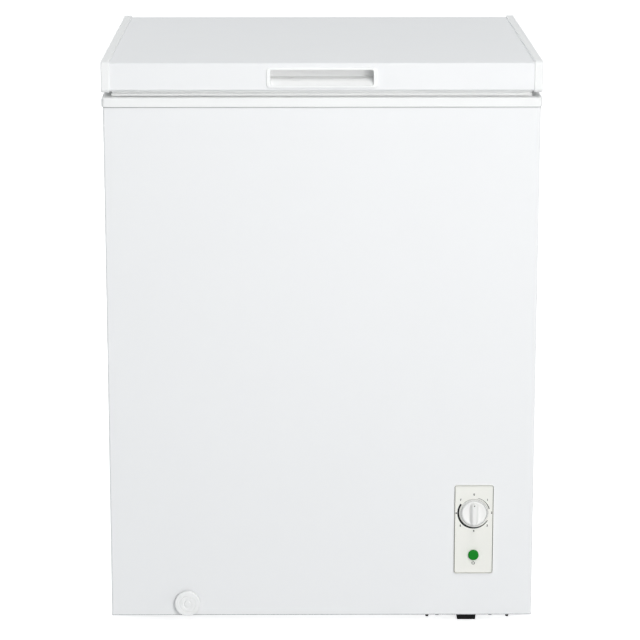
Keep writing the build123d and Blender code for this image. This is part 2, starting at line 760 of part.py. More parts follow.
def field_form(inset, top, low):
    """The raised field under the lid as a solid with leaning sides."""
    plan = RectangleRounded(2 * (field_half - inset), field_back - field_front - 2 * inset, 24 - inset)
    return Pos(0, (field_front + field_back) / 2, top) * extrude(plan, amount=low - top, taper=20)


def lid_liner():
    """Vacuum-formed inner panel: a flat border and a raised field that dips into the tub's mouth."""
    edge = 13
    border = rounded_slab(
        half - edge, front + edge, front + lid_depth - edge, 8, lid_bottom - 0.8, lid_bottom + 0.6
    )
    field = field_form(0, lid_bottom, field_low)
    field = fillet(field.edges().group_by(Axis.Z)[0], 3)
    return keep("lid_liner", border + field - field_form(1.5, lid_bottom + 0.6, field_low + 1.6))


def lid_gasket():
    """Soft magnetic seal: an anchor strip, a thin bellows and a bulb that meets the rim."""
    outer = 14
    seal = band(outer, 18, 6, lid_bottom - 3.2, lid_bottom - 0.8)
    seal += band(outer + 5, 8, 4, lid_bottom - 5.4, lid_bottom - 3.2)
    bulb = band(outer, 17, 6, rim_top + 0.3, lid_bottom - 5.4)
    return keep("lid_gasket", seal + bulb)


def pull_cup(grow):
    """The cup's form, seen from the side: it slopes up from the mouth and rises behind the upper lip."""
    y = front + 1.5
    return outline(
        (y - 4, handle_z0 - grow),
        (y, handle_z0 - grow),
        (y + 15, pull_floor - grow),
        (y + 26.6 + grow, pull_floor + 1.6 - grow),
        (y + 26.6 + grow, pull_top + grow),
        (y + 4.4 - grow, pull_top + grow),
        (y + 2 - grow, handle_z1 + grow),
        (y - 4, handle_z1 + grow),
    )


def lid_handle():
    """Recessed pull: a raised round-cornered frame and a cup whose pocket rises behind the upper lip."""
    y = front + 1.5
    middle = (handle_z0 + handle_z1) / 2
    frame = Pos(0, middle) * RectangleRounded(2 * pull_half + 11, handle_z1 - handle_z0 + 5.8, 5.4)
    body = along_y(frame, front - 0.7, y)
    body = fillet(body.faces().sort_by(Axis.Y)[0].edges(), 1.4)
    cup = along_x(pull_cup(1.4), -pull_half - 1.8, pull_half + 1.8)
    body += cup - block(-width, width, front - 10, y, 0, height)
    mouth = Pos(0, middle) * RectangleRounded(2 * pull_half, handle_z1 - handle_z0, 3.6)
    hollow = fillet(along_x(pull_cup(0), -pull_half, pull_half).faces().filter_by(Axis.X).edges(), 1.5)
    body -= hollow & (along_y(mouth, front - 5, y + 2) + block(-half, half, y + 2, y + 40, 0, height))
    return keep("lid_handle", body)


def lid_foam():
    """Foam that fills the lid between its panel, caps, liner and pull."""
    y0, y1 = front + 1.5 + sheet, front + lid_depth - 1.5 - sheet
    foam = block(-half + 3, half - 3, y0, y1, lid_bottom + 0.6, lid_top - sheet)
    foam = fillet(foam.edges().filter_by(Axis.X), 2.6)
    foam += field_form(1.5, lid_bottom + 0.6, field_low + 1.6)
    foam -= along_x(pull_cup(1.4), -pull_half - 1.8, pull_half + 1.8)
    foam -= block(-pull_half - 1.8, pull_half + 1.8, front, front + 29.5, pull_top, lid_top)
    return keep("lid_foam", foam)


# ---- Hinges ------------------------------------------------------------------------------------
cheek = 2  # thickness of the arm's cheeks and of the housing
cheek_out = 16  # outer faces of the cheeks, each side of the hinge's middle
housing_low, wing_top = 656, 764
housing_screws = (housing_low + 14, wing_top - 14)
leaf_screws = (lid_bottom + 9, lid_bottom + 27)
housing_screw_x, leaf_screw_x = 27, 24  # each side of the hinge's middle
pin_radius = 3
head_y = pivot_y - 1.5  # middle of the plunger and spring


def cam_point(roll):
    """A point of the cam: an involute of the base circle, so a flat plunger rises evenly as the lid turns."""
    left = cam_start - roll
    y = pivot_y - cam_base * cos(roll) + cam_base * left * sin(roll)
    z = pivot_z - cam_base * sin(roll) - cam_base * left * cos(roll)
    return (y, z)


def hinge_arm(x):
    """Pressed arm on the lid's back: a screwed leaf and two cheeks that end in cams under the pivot."""
    leaf_y = front + lid_depth - 1.5
    turn = radians(lid_opening)
    cam = Spline(*[cam_point(turn * i / 6) for i in range(7)])
    toe = (pivot_y - 9, pivot_z - 9)
    heel = (pivot_y + 5.6, pivot_z - 2)
    side = Polyline(
        cam @ 1,
        heel,
        (pivot_y + 5.6, lid_bottom + 8),
        (leaf_y + cheek, lid_bottom + 31),
        (leaf_y, lid_bottom + 31),
        (leaf_y, lid_bottom - 6),
        (leaf_y - 3.5, lid_bottom - 12),
        (pivot_y - 9.5, pivot_z + 6),
        toe,
        cam @ 0,
    )
    cheeks = make_face(cam.edges() + side.edges())
    arm = along_x(cheeks, x - cheek_out, x - cheek_out + cheek)
    arm += along_x(cheeks, x + cheek_out - cheek, x + cheek_out)
    leaf = Pos(x, lid_bottom + 18) * RectangleRounded(60, 32, 5)
    arm += along_y(leaf, leaf_y, leaf_y + cheek)
    for s in (-1, 1):
        for z in leaf_screws:
            arm -= rod_y(x + s * leaf_screw_x, z, leaf_y - 1, leaf_y + 3, 2.2)
    return arm - rod_x(pivot_y, pivot_z, x - 30, x + 30, pin_radius + 0.05)


def hinge_housing(x):
    """Pressed channel on the cabinet's back: two ears for the pin, a back web and a floor for the spring."""
    y0, y1 = cabinet_back, front + overall_depth - knob_reach
    inner, outer = cheek_out + 0.5, cheek_out + 0.5 + cheek
    low, web_top = housing_low, pivot_z - 5
    ear = outline(
        (y0, low), (y1, low), (y1, web_top), (pivot_y + 9, pivot_z + 2), (y0 + 6, pivot_z + 2), (y0, web_top - 5)
    )
    ear += Pos(pivot_y, pivot_z) * Circle(9)
    shell = along_x(ear, x - outer, x - inner) + along_x(ear, x + inner, x + outer)
    shell += block(x - outer, x + outer, y1 - 1.5, y1, low, web_top)
    shell += block(x - inner, x + inner, y0 + 1, y1 - 1, low, low + cheek)
    for s in (-1, 1):
        wing = Pos(x + s * 26, (low + wing_top) / 2) * RectangleRounded(20, wing_top - low, 4)
        shell += along_y(wing, y0, y0 + cheek)
        for z in housing_screws:
            shell -= rod_y(x + s * housing_screw_x, z, y0 - 1, y0 + 5, 2.6)
    shell -= rod(x, head_y, low - 1, low + 5, 3.4)
    shell -= block(x - 7, x + 7, y1 - 3, y1 + 3, 690, 740)
    return shell - rod_x(pivot_y, pivot_z, x - 30, x + 30, pin_radius)


def hinge_pin(x):
    """Headed pin through the ears and the arm's cheeks."""
    out = cheek_out + 0.5 + cheek
    shank = rod_x(pivot_y, pivot_z, x - out - 1.5, x + out, pin_radius)
    return shank + rod_x(pivot_y, pivot_z, x + out, x + out + 2, 5)


def hinge_plunger(x):
    """Sliding head under the cams, with a stem that keeps the spring straight."""
    top = cam_point(0)[1] - 0.08
    head = block(x - cheek_out + 0.2, x + cheek_out - 0.2, head_y - 9.5, head_y + 9.5, top - 7, top)
    head = chamfer(head.edges().filter_by(Axis.Z), 1.5)
    return head + rod(x, head_y, 648, top - 7, 3)


def hinge_spring(x):
    """Compression spring of square wire, closed at its ends, between the housing's floor and the plunger."""
    low, high = 658, cam_point(0)[1] - 0.08 - 7
    wire, radius, turns = 2.6, 6.6, 7
    rise = high - low - 1.6 * wire
    path = Helix(pitch=rise / turns, height=rise, radius=radius)
    section = Plane(origin=path @ 0, x_dir=(1, 0, 0), z_dir=path % 0) * Rectangle(wire, wire)
    coil = Pos(x, head_y, low + 0.8 * wire) * sweep(section, path=path, is_frenet=True)
    for z in (low, high - wire):
        closed = rod(x, head_y, z, z + wire, radius + wire / 2 + 0.15)
        coil += closed - rod(x, head_y, z - 1, z + wire + 1, radius - wire / 2 - 0.15)
    return coil


def hinges():
    """Both hinges: fixed housings, pins and springs, the arms on the lid and the plungers between."""
    base_screws, arm_screws = [], []
    leaf_back = front + lid_depth - 1.5 + cheek
    for side, x in (("left", -hinge_x), ("right", hinge_x)):
        keep("hinge_housing_" + side, hinge_housing(x))
        keep("hinge_pin_" + side, hinge_pin(x))
        keep("hinge_spring_" + side, hinge_spring(x))
        keep("hinge_arm_" + side, hinge_arm(x))
        keep("hinge_plunger_" + side, hinge_plunger(x))
        for s in (-1, 1):
            for z in housing_screws:
                base_screws.append(screw_y(x + s * housing_screw_x, z, cabinet_back + cheek, 2.6, 4.6, 12))
            for z in leaf_screws:
                arm_screws.append(screw_y(x + s * leaf_screw_x, z, leaf_back, 2.2, 4.2, 12))
    for screw in base_screws:
        made["rear_panel"] -= screw
        made["insulation_foam"] -= screw
    for screw in arm_screws:
        made["lid_panel"] -= screw
        made["lid_foam"] -= screw
    keep("hinge_base_screws", Compound(base_screws))
    keep("hinge_arm_screws", Compound(arm_screws))


# ---- Basket ------------------------------------------------------------------------------------
def basket():
    """Wire basket that hangs by hooks from the rim's ledge and slides along it."""
    x0, x1, y0, y1 = -252, -22, front + 63, front + 471
    low, high = 576, 770
    thin, thick = 1.5, 2.4
    middle = (y0 + y1) / 2

    def hoop(inset, z, wire):
        """A level hoop of hexagonal wire."""
        size = ((x1 - x0) - 2 * inset, (y1 - y0) - 2 * inset)
        outer = extrude(RectangleRounded(size[0], size[1], 16), amount=2 * wire)
        inner = extrude(RectangleRounded(size[0] - 4 * wire, size[1] - 4 * wire, 16 - 2 * wire), amount=2 * wire)
        return Pos((x0 + x1) / 2, middle, z - wire) * (outer - inner)

    wires = hoop(0, high, thick) + hoop(6, 700, thin) + hoop(12, 640, thin)
    inset = 18
    lean = thick
    for i in range(cross_wires):
        y = y0 + 28 + i * (y1 - y0 - 56) / (cross_wires - 1)
        path = [(x0 + lean, high), (x0 + inset, low), (x1 - inset, low), (x1 - lean, high)]
        line = FilletPolyline(*path, radius=14).wire()
        strip = Face(line.offset_2d(2 * thin, kind=Kind.ARC, side=Side.LEFT))
        wires += along_y(strip, y - thin, y + thin)
    for i in range(long_wires):
        x = x0 + 34 + i * (x1 - x0 - 68) / (long_wires - 1)
        path = [(y0 + lean, high), (y0 + inset, low - 0.6), (y1 - inset, low - 0.6), (y1 - lean, high)]
        line = FilletPolyline(*path, radius=14).wire()
        strip = Face(line.offset_2d(2 * thin, kind=Kind.ARC, side=Side.LEFT))
        wires += along_x(strip, x - thin, x + thin)
    ledge = rim_top - 10 + 0.3
    for edge, s in ((y0, 1), (y1, -1)):
        for x in ((x0 + x1) / 2 - 62, (x0 + x1) / 2 + 62):
            hook = outline(
                (edge + s * 4.6, high),
                (edge + s * 4.6, ledge + 3.6),
                (edge - s * 13.2, ledge + 3.6),
                (edge - s * 13.2, ledge),
                (edge + s * 1, ledge),
                (edge + s * 1, high),
            )
            wires += along_x(hook, x - 1.8, x + 1.8)
    return keep("basket", wires)


# ---- Building ----------------------------------------------------------------------------------
cabinet_wrapper()
rear_panel()
base_panel()
compressor_bay_panel()
inner_liner()
evaporator_coil()
condenser_coil()
rim_frame()
drain_tube()
drain_socket()
insulation_foam(
    [
        made[n]
        for n in ("cabinet_wrapper", "compressor_bay_panel", "rim_frame", "evaporator_coil", "condenser_coil")
    ]
)

compressor_tray()
compressor_grommets()
compressor_bolts()
compressor_shell()
compressor_pump()
compressor_terminal_cover()
sealed_circuit()
rear_vent_cover()
cord_gland()
vent_cover_screws()
wiring_loom()

feet()
front_foot()
base_bolts()
tray_plugs()

control_panel()
thermostat_body()
thermostat_sensor()
thermostat_shaft()
thermostat_knob()
power_lamp()
drain_spout()
drain_dial()
drain_plug()

lid_panel()
keep("lid_end_cap_left", lid_end_cap(-1))
keep("lid_end_cap_right", lid_end_cap(1))
lid_liner()
lid_gasket()
lid_handle()
lid_foam()
hinges()
basket()

os.makedirs("parts", exist_ok=True)
for name, shape in made.items():
    export_step(shape, f"parts/{name}.step")
print(len(made), "pieces")
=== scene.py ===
from math import cos, pi, radians, sin

import bmesh
import bpy
from mathutils import Matrix, Vector


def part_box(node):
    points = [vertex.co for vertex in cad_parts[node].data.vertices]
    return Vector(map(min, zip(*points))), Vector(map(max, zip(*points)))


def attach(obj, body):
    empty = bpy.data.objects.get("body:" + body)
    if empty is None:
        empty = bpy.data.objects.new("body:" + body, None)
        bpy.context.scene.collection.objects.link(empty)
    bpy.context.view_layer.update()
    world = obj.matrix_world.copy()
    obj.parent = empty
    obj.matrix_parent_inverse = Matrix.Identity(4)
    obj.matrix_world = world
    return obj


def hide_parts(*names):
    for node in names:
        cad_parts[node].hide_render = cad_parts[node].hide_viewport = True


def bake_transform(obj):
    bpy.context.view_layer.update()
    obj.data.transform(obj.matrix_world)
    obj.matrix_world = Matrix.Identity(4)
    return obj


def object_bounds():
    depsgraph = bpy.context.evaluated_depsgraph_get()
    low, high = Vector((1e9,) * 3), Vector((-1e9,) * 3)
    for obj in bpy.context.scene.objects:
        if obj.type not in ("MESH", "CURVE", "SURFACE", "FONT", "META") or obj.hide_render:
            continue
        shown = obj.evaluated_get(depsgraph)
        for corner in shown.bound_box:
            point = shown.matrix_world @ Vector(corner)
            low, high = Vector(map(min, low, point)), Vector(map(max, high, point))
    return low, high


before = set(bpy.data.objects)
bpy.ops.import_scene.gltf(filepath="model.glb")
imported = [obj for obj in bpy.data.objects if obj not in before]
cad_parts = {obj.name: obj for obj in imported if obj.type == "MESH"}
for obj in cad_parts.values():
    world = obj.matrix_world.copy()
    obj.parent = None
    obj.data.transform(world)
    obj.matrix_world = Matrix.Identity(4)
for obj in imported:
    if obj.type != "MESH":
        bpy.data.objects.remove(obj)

cad_low, cad_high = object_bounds()


# ---- Camera --------------------------------------------------------------------------------------
# A long lens, a little under four metres in front of the lid and at chest height, turned down far
# enough to show the lid's top.
lid_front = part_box("lid_end_cap_left")[0].y
eye_left, eye_distance, eye_height = 0.034, 3.729, 1.362
turned_down, turned_right = 13.43, 0.38  # degrees
eye = bpy.data.cameras.new("studio_eye")
eye.lens = 148.3
eye.sensor_width = 36
eye.shift_x = 0.007
eye.clip_end = 60
camera = bpy.data.objects.new("studio_eye", eye)
camera.location = (-eye_left, lid_front - eye_distance, eye_height)
camera.rotation_euler = (radians(90 - turned_down), 0, radians(-turned_right))
bpy.context.scene.collection.objects.link(camera)
bpy.context.scene.camera = camera
bpy.context.scene.view_settings.view_transform = "Standard"


# ---- Studio --------------------------------------------------------------------------------------
# A pale floor that runs out into a white sweep. Seen directly, in gloss or through glass the sweep is
# white, and the floor keeps the freezer's shadow.
def set_sockets(node, **values):
    """Gives a node's input sockets their values. An underscore stands for a space."""
    for label, value in values.items():
        node.inputs[label.replace("_", " ")].default_value = value


def add_node(tree, kind, options=None, **values):
    """Adds a node to a tree, with its options and the values of its sockets."""
    node = tree.nodes.new(kind)
    for option, choice in (options or {}).items():
        setattr(node, option, choice)
    set_sockets(node, **values)
    return node


def join(tree, *pairs):
    """Links each output socket to the input socket it is paired with."""
    for start, end in pairs:
        tree.links.new(start, end)


def seen_ray(tree):
    """1 where a ray comes from the camera, from gloss or through glass."""
    path = add_node(tree, "ShaderNodeLightPath")
    either = add_node(tree, "ShaderNodeMath", {"operation": "MAXIMUM"})
    any_of = add_node(tree, "ShaderNodeMath", {"operation": "MAXIMUM"})
    join(
        tree,
        (path.outputs["Is Camera Ray"], either.inputs[0]),
        (path.outputs["Is Glossy Ray"], either.inputs[1]),
        (either.outputs[0], any_of.inputs[0]),
        (path.outputs["Is Transmission Ray"], any_of.inputs[1]),
    )
    return any_of.outputs[0]


sweep = bpy.data.worlds.new("white_sweep")
sweep.use_nodes = True
sweep_tree = sweep.node_tree
sweep_tree.nodes.clear()
room_light = add_node(sweep_tree, "ShaderNodeBackground", Color=(0.86, 0.96, 1.0, 1), Strength=0.22)
seen_white = add_node(sweep_tree, "ShaderNodeBackground", Color=(1, 1, 1, 1), Strength=1.0)
sweep_mix = add_node(sweep_tree, "ShaderNodeMixShader")
sweep_out = add_node(sweep_tree, "ShaderNodeOutputWorld")
join(
    sweep_tree,
    (seen_ray(sweep_tree), sweep_mix.inputs[0]),
    (room_light.outputs[0], sweep_mix.inputs[1]),
    (seen_white.outputs[0], sweep_mix.inputs[2]),
    (sweep_mix.outputs[0], sweep_out.inputs["Surface"]),
)
bpy.context.scene.world = sweep

floor_half = 9
floor_mesh = bpy.data.meshes.new("studio_floor")
floor_turns = ((-1, -1), (1, -1), (1, 1), (-1, 1))
floor_corners = [(s * floor_half, t * floor_half, cad_low.z) for s, t in floor_turns]
floor_mesh.from_pydata(floor_corners, [], [(0, 1, 2, 3)])
floor = bpy.data.objects.new("studio_floor", floor_mesh)
bpy.context.scene.collection.objects.link(floor)
floor_paint = bpy.data.materials.new("pale_floor")
floor_paint.use_nodes = True
floor_tree = floor_paint.node_tree
floor_shader = floor_tree.nodes["Principled BSDF"]
set_sockets(floor_shader, Base_Color=(0.82, 0.82, 0.82, 1), Roughness=0.9, Specular_IOR_Level=0.0)
set_sockets(floor_shader, Emission_Color=(1, 1, 1, 1))
floor_place = add_node(floor_tree, "ShaderNodeTexCoord")
floor_reach = add_node(floor_tree, "ShaderNodeVectorMath", {"operation": "LENGTH"})
floor_fade = add_node(
    floor_tree, "ShaderNodeMapRange", {"interpolation_type": "SMOOTHSTEP"},
    From_Min=0.3, From_Max=1.5, To_Min=0.74, To_Max=1.0,
)
floor_lift = add_node(floor_tree, "ShaderNodeMath", {"operation": "MULTIPLY"})
join(
    floor_tree,
    (floor_place.outputs["Object"], floor_reach.inputs[0]),
    (floor_reach.outputs["Value"], floor_fade.inputs["Value"]),
    (seen_ray(floor_tree), floor_lift.inputs[0]),
    (floor_fade.outputs["Result"], floor_lift.inputs[1]),
    (floor_lift.outputs[0], floor_shader.inputs["Emission Strength"]),
)
floor_mesh.materials.append(floor_paint)


# ---- Studio lamps --------------------------------------------------------------------------------
# The key stands on the right of the camera, two weaker boxes in front, at eye level and low, and one
# high over the lid's front edge. Three stand behind the freezer, for its back and the lid's top.
def soft_box(name, place, aim, size, watts, tint=(1, 1, 1)):
    """A rectangular area lamp that looks at a point."""
    lamp = bpy.data.lights.new(name, "AREA")
    lamp.shape = "RECTANGLE"
    lamp.size, lamp.size_y = size
    lamp.energy = watts
    lamp.color = tint
    holder = bpy.data.objects.new(name, lamp)
    holder.location = place
    holder.rotation_euler = (Vector(aim) - Vector(place)).to_track_quat("-Z", "Y").to_euler()
    bpy.context.scene.collection.objects.link(holder)


front_aim, rear_aim, top_aim = (0, lid_front, 0.45), (0, 0.27, 0.4), (0, 0.27, 0.6)
soft_box("key_box", (1.8, -4.0, 2.2), front_aim, (1.2, 1.2), 48, (1, 0.985, 0.975))
soft_box("front_box", (0.2, -4.6, 1.9), front_aim, (1.5, 1.5), 6)
soft_box("low_box", (1.3, -4.3, 0.8), front_aim, (1.8, 1.2), 34)
soft_box("top_box", (0.3, -2.4, 3.4), front_aim, (1.4, 1.4), 43)
soft_box("rear_box", (-2.9, 3.6, 0.9), rear_aim, (1.4, 1.4), 48)
soft_box("back_box_left", (-2.0, 3.1, 3.1), top_aim, (1.4, 1.4), 46)
soft_box("back_box_right", (2.0, 3.1, 3.1), top_aim, (1.4, 1.4), 34)


# ---- Painted sheet steel -------------------------------------------------------------------------
# The wrapper of the cabinet and the lid's panel are pre-painted steel sheet, folded: cool white
# polyester paint with a faint orange peel. Both are the frame's own pieces.
def finish_group(name, *pattern_sizes):
    """A shader group with the sockets that every finish shares, and its own pattern sizes."""
    group = bpy.data.node_groups.new(name, "ShaderNodeTree")
    sizes = [(label, "Float") for label in (*pattern_sizes, "Gloss Low", "Gloss High")]
    for label, kind in (("Place", "Vector"), ("Tone", "Color"), ("Deep Tone", "Color"), *sizes):
        group.interface.new_socket(label, in_out="INPUT", socket_type="NodeSocket" + kind)
    for label, kind in (("Colour", "Color"), ("Roughness", "Float"), ("Height", "Float")):
        group.interface.new_socket(label, in_out="OUTPUT", socket_type="NodeSocket" + kind)
    return group, add_node(group, "NodeGroupInput"), add_node(group, "NodeGroupOutput")


def skin_group():
    """The fine relief, slow drift of tone and uneven gloss of a painted or moulded skin."""
    group, given, result = finish_group("painted_or_moulded_skin", "Drift Size", "Grain Size")
    drift = add_node(group, "ShaderNodeTexNoise", Detail=3)
    tone = add_node(group, "ShaderNodeMix", {"data_type": "RGBA"})
    rub = add_node(group, "ShaderNodeTexNoise", Scale=21, Detail=5)
    gloss = add_node(group, "ShaderNodeMapRange", From_Min=0.3, From_Max=0.7)
    grain = add_node(group, "ShaderNodeTexNoise", Detail=2)
    join(
        group,
        (given.outputs["Place"], drift.inputs["Vector"]),
        (given.outputs["Drift Size"], drift.inputs["Scale"]),
        (drift.outputs["Fac"], tone.inputs["Factor"]),
        (given.outputs["Tone"], tone.inputs["A"]),
        (given.outputs["Deep Tone"], tone.inputs["B"]),
        (tone.outputs["Result"], result.inputs["Colour"]),
        (given.outputs["Place"], rub.inputs["Vector"]),
        (rub.outputs["Fac"], gloss.inputs["Value"]),
        (given.outputs["Gloss Low"], gloss.inputs["To Min"]),
        (given.outputs["Gloss High"], gloss.inputs["To Max"]),
        (gloss.outputs["Result"], result.inputs["Roughness"]),
        (given.outputs["Place"], grain.inputs["Vector"]),
        (given.outputs["Grain Size"], grain.inputs["Scale"]),
        (grain.outputs["Fac"], result.inputs["Height"]),
    )
    return group


def look(tone, deep, gloss, **sizes):
    """A finish's values: its two tones, its lowest and highest roughness and its pattern sizes."""
    values = {"Tone": (*tone, 1), "Deep Tone": (*deep, 1)}
    values["Gloss Low"], values["Gloss High"] = gloss
    for pattern, scale in sizes.items():
        values[pattern.title() + " Size"] = scale
    return values


def finish(name, group, values, relief, **shader_values):
    """A material: a skin or metal group on object coordinates, feeding one Principled shader."""
    material = bpy.data.materials.new(name)
    material.use_nodes = True
    tree = material.node_tree
    shader = tree.nodes["Principled BSDF"]
    place = add_node(tree, "ShaderNodeTexCoord")
    surface = add_node(tree, "ShaderNodeGroup", {"node_tree": group}, **values)
    bump = add_node(tree, "ShaderNodeBump", Distance=relief)
    join(
        tree,
        (place.outputs["Object"], surface.inputs["Place"]),
        (surface.outputs["Colour"], shader.inputs["Base Color"]),
        (surface.outputs["Roughness"], shader.inputs["Roughness"]),
        (surface.outputs["Height"], bump.inputs["Height"]),
        (bump.outputs["Normal"], shader.inputs["Normal"]),
    )
    set_sockets(shader, **shader_values)
    return material


def dress(material, *names):
    """Gives pieces of the frame their finish."""
    for name in names:
        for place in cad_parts[name].material_slots:
            place.material = material


skin = skin_group()
paint = look(
    tone=(0.862, 0.862, 0.868), deep=(0.845, 0.848, 0.856), gloss=(0.42, 0.48), drift=1.6, grain=620
)
painted_steel = finish("white_painted_steel", skin, paint, 0.00003, Specular_IOR_Level=0.3)
dress(painted_steel, "cabinet_wrapper", "lid_panel")


# ---- Bare sheet metal ----------------------------------------------------------------------------
# The back, the base, the bay's panel and the compressor's tray are galvanised steel with the zinc's
# grey spangle. The flat tube round the tub is mill-finish aluminium.
def metal_group():
    """Crystals or handling marks of a bare metal: tone, gloss and height drift from cell to cell."""
    group, given, result = finish_group("bare_metal", "Cell Size", "Scratch Size")
    cells = add_node(group, "ShaderNodeTexVoronoi")
    split = add_node(group, "ShaderNodeSeparateColor")
    scratch = add_node(group, "ShaderNodeTexNoise", Detail=6)
    blend = add_node(group, "ShaderNodeMath", {"operation": "MULTIPLY"})
    tone = add_node(group, "ShaderNodeMix", {"data_type": "RGBA"})
    gloss = add_node(group, "ShaderNodeMapRange")
    join(
        group,
        (given.outputs["Place"], cells.inputs["Vector"]),
        (given.outputs["Cell Size"], cells.inputs["Scale"]),
        (cells.outputs["Color"], split.inputs["Color"]),
        (given.outputs["Place"], scratch.inputs["Vector"]),
        (given.outputs["Scratch Size"], scratch.inputs["Scale"]),
        (split.outputs["Red"], blend.inputs[0]),
        (scratch.outputs["Fac"], blend.inputs[1]),
        (blend.outputs[0], tone.inputs["Factor"]),
        (given.outputs["Tone"], tone.inputs["A"]),
        (given.outputs["Deep Tone"], tone.inputs["B"]),
        (tone.outputs["Result"], result.inputs["Colour"]),
        (split.outputs["Green"], gloss.inputs["Value"]),
        (given.outputs["Gloss Low"], gloss.inputs["To Min"]),
        (given.outputs["Gloss High"], gloss.inputs["To Max"]),
        (gloss.outputs["Result"], result.inputs["Roughness"]),
        (scratch.outputs["Fac"], result.inputs["Height"]),
    )
    return group


metal = metal_group()
zinc = look(
    tone=(0.42, 0.435, 0.445), deep=(0.31, 0.32, 0.335), gloss=(0.36, 0.52), cell=70, scratch=45
)
dress(
    finish("galvanised_sheet", metal, zinc, 0.00002, Metallic=0.9),
    "rear_panel", "base_panel", "compressor_bay_panel", "compressor_tray",
)
mill = look(
    tone=(0.78, 0.79, 0.80), deep=(0.64, 0.65, 0.66), gloss=(0.3, 0.42), cell=240, scratch=160
)
dress(finish("mill_aluminium", metal, mill, 0.00002, Metallic=1.0), "evaporator_coil")
bundy = look(
    tone=(0.20, 0.21, 0.22), deep=(0.10, 0.10, 0.11), gloss=(0.4, 0.6), cell=300, scratch=200
)
dress(finish("coated_steel_tube", metal, bundy, 0.00002, Metallic=0.6), "condenser_coil")


# ---- Foam ----------------------------------------------------------------------------------------
# Rigid polyurethane, blown between the sheets of the walls and of the lid, where it sets and bonds
# them: straw coloured and porous. It is hidden once the freezer is closed up.
pores = look(
    tone=(0.80, 0.70, 0.44), deep=(0.68, 0.55, 0.30), gloss=(0.85, 0.95), drift=30, grain=700
)
dress(finish("polyurethane_foam", skin, pores, 0.0004), "insulation_foam", "lid_foam")


# ---- Tub -----------------------------------------------------------------------------------------
# The liner is thin aluminium sheet with a pebbled embossing that hides dents, folded into a tub with
# a step over the compressor's bay.
embossed = look(
    tone=(0.93, 0.935, 0.94), deep=(0.84, 0.85, 0.86), gloss=(0.24, 0.34), cell=210, scratch=60
)
liner_skin = finish("embossed_aluminium", metal, embossed, 0.0006, Metallic=1.0)
liner_tree = liner_skin.node_tree
pebbles = add_node(
    liner_tree, "ShaderNodeTexVoronoi", {"feature": "SMOOTH_F1"}, Scale=210, Smoothness=0.6
)
pebble_bump = liner_tree.nodes["Bump"]
pebble_bump.invert = True
set_sockets(pebble_bump, Strength=0.7)
join(
    liner_tree,
    (liner_tree.nodes["Texture Coordinate"].outputs["Object"], pebbles.inputs["Vector"]),
    (pebbles.outputs["Distance"], pebble_bump.inputs["Height"]),
)
dress(liner_skin, "inner_liner")


# ---- White mouldings -----------------------------------------------------------------------------
# The rim collar, the lid's end caps, its pull, the control plate and the drain are injection-moulded
# in white ABS with a fine spark-eroded texture. The lid's inner panel is vacuum-formed, and glossier.
eroded = {"gloss": (0.44, 0.52), "drift": 6, "grain": 1500}
white_abs = look(tone=(0.885, 0.885, 0.88), deep=(0.87, 0.87, 0.866), **eroded)
white_plastic = finish("white_moulded_plastic", skin, white_abs, 0.00003, Specular_IOR_Level=0.3)
dress(
    white_plastic,
    "rim_frame", "lid_end_cap_left", "lid_end_cap_right", "drain_socket", "drain_spout", "drain_tube",
    "drain_dial",
)
# The pull takes a lighter copy of the white ABS: painted light for the light its lower slope catches.
pull_lit_abs = look(tone=(0.94, 0.94, 0.935), deep=(0.93, 0.93, 0.925), **eroded)
pull_lit_plastic = finish("lit_moulded_plastic_for_pull", skin, pull_lit_abs, 0.00003, Specular_IOR_Level=0.3)
dress(pull_lit_plastic, "lid_handle")
warm_abs = look(tone=(0.862, 0.855, 0.808), deep=(0.848, 0.84, 0.793), **eroded)
warm_plastic = finish("warm_moulded_plastic", skin, warm_abs, 0.00003, Specular_IOR_Level=0.3)
dress(warm_plastic, "control_panel", "thermostat_knob")
formed = look(
    tone=(0.86, 0.87, 0.87), deep=(0.84, 0.852, 0.855), gloss=(0.16, 0.24), drift=3, grain=350
)
dress(finish("vacuum_formed_sheet", skin, formed, 0.00004), "lid_liner")


# ---- Refrigerating unit --------------------------------------------------------------------------
# A black enamelled hermetic compressor on rubber mounts, with brazed copper pipes, in the bay behind
# the vent cover. Round it are the small black and grey mouldings, the feet and the wiring's sleeve.
enamel = look(
    tone=(0.012, 0.012, 0.014), deep=(0.022, 0.022, 0.024), gloss=(0.22, 0.36), drift=14, grain=260
)
dress(finish("black_enamel", skin, enamel, 0.00012, Coat_Weight=0.3), "compressor_shell")
iron = look(
    tone=(0.26, 0.25, 0.24), deep=(0.16, 0.155, 0.15), gloss=(0.5, 0.7), cell=300, scratch=240
)
dress(finish("cast_iron_and_laminations", metal, iron, 0.00015, Metallic=0.8), "compressor_pump")
copper = look(
    tone=(0.76, 0.42, 0.28), deep=(0.42, 0.20, 0.13), gloss=(0.24, 0.44), cell=45, scratch=70
)
dress(
    finish("drawn_copper", metal, copper, 0.00002, Metallic=1.0),
    "suction_pipe", "discharge_pipe", "process_pipe", "filter_drier", "capillary_tube",
    "thermostat_sensor",
)
worn_rubber = {"gloss": (0.62, 0.78), "drift": 40, "grain": 900}
rubber = look(tone=(0.022, 0.022, 0.023), deep=(0.036, 0.036, 0.036), **worn_rubber)
dress(finish("black_rubber", skin, rubber, 0.00006), "compressor_grommets", "cord_gland")
black = look(
    tone=(0.02, 0.02, 0.021), deep=(0.03, 0.03, 0.031), gloss=(0.38, 0.5), drift=25, grain=1100
)
black_plastic = finish("black_moulded_plastic", skin, black, 0.00005)
dress(black_plastic, "compressor_terminal_cover", "lamp_holder")
jet = look(tone=(0.006, 0.006, 0.0065), deep=(0.009, 0.009, 0.0095), **worn_rubber)
dress(
    finish("black_foot_plastic", skin, jet, 0.00005, Specular_IOR_Level=0.15),
    "feet", "front_foot", "tray_plugs",
)
sleeve = look(
    tone=(0.05, 0.05, 0.052), deep=(0.09, 0.09, 0.092), gloss=(0.6, 0.8), drift=60, grain=500
)
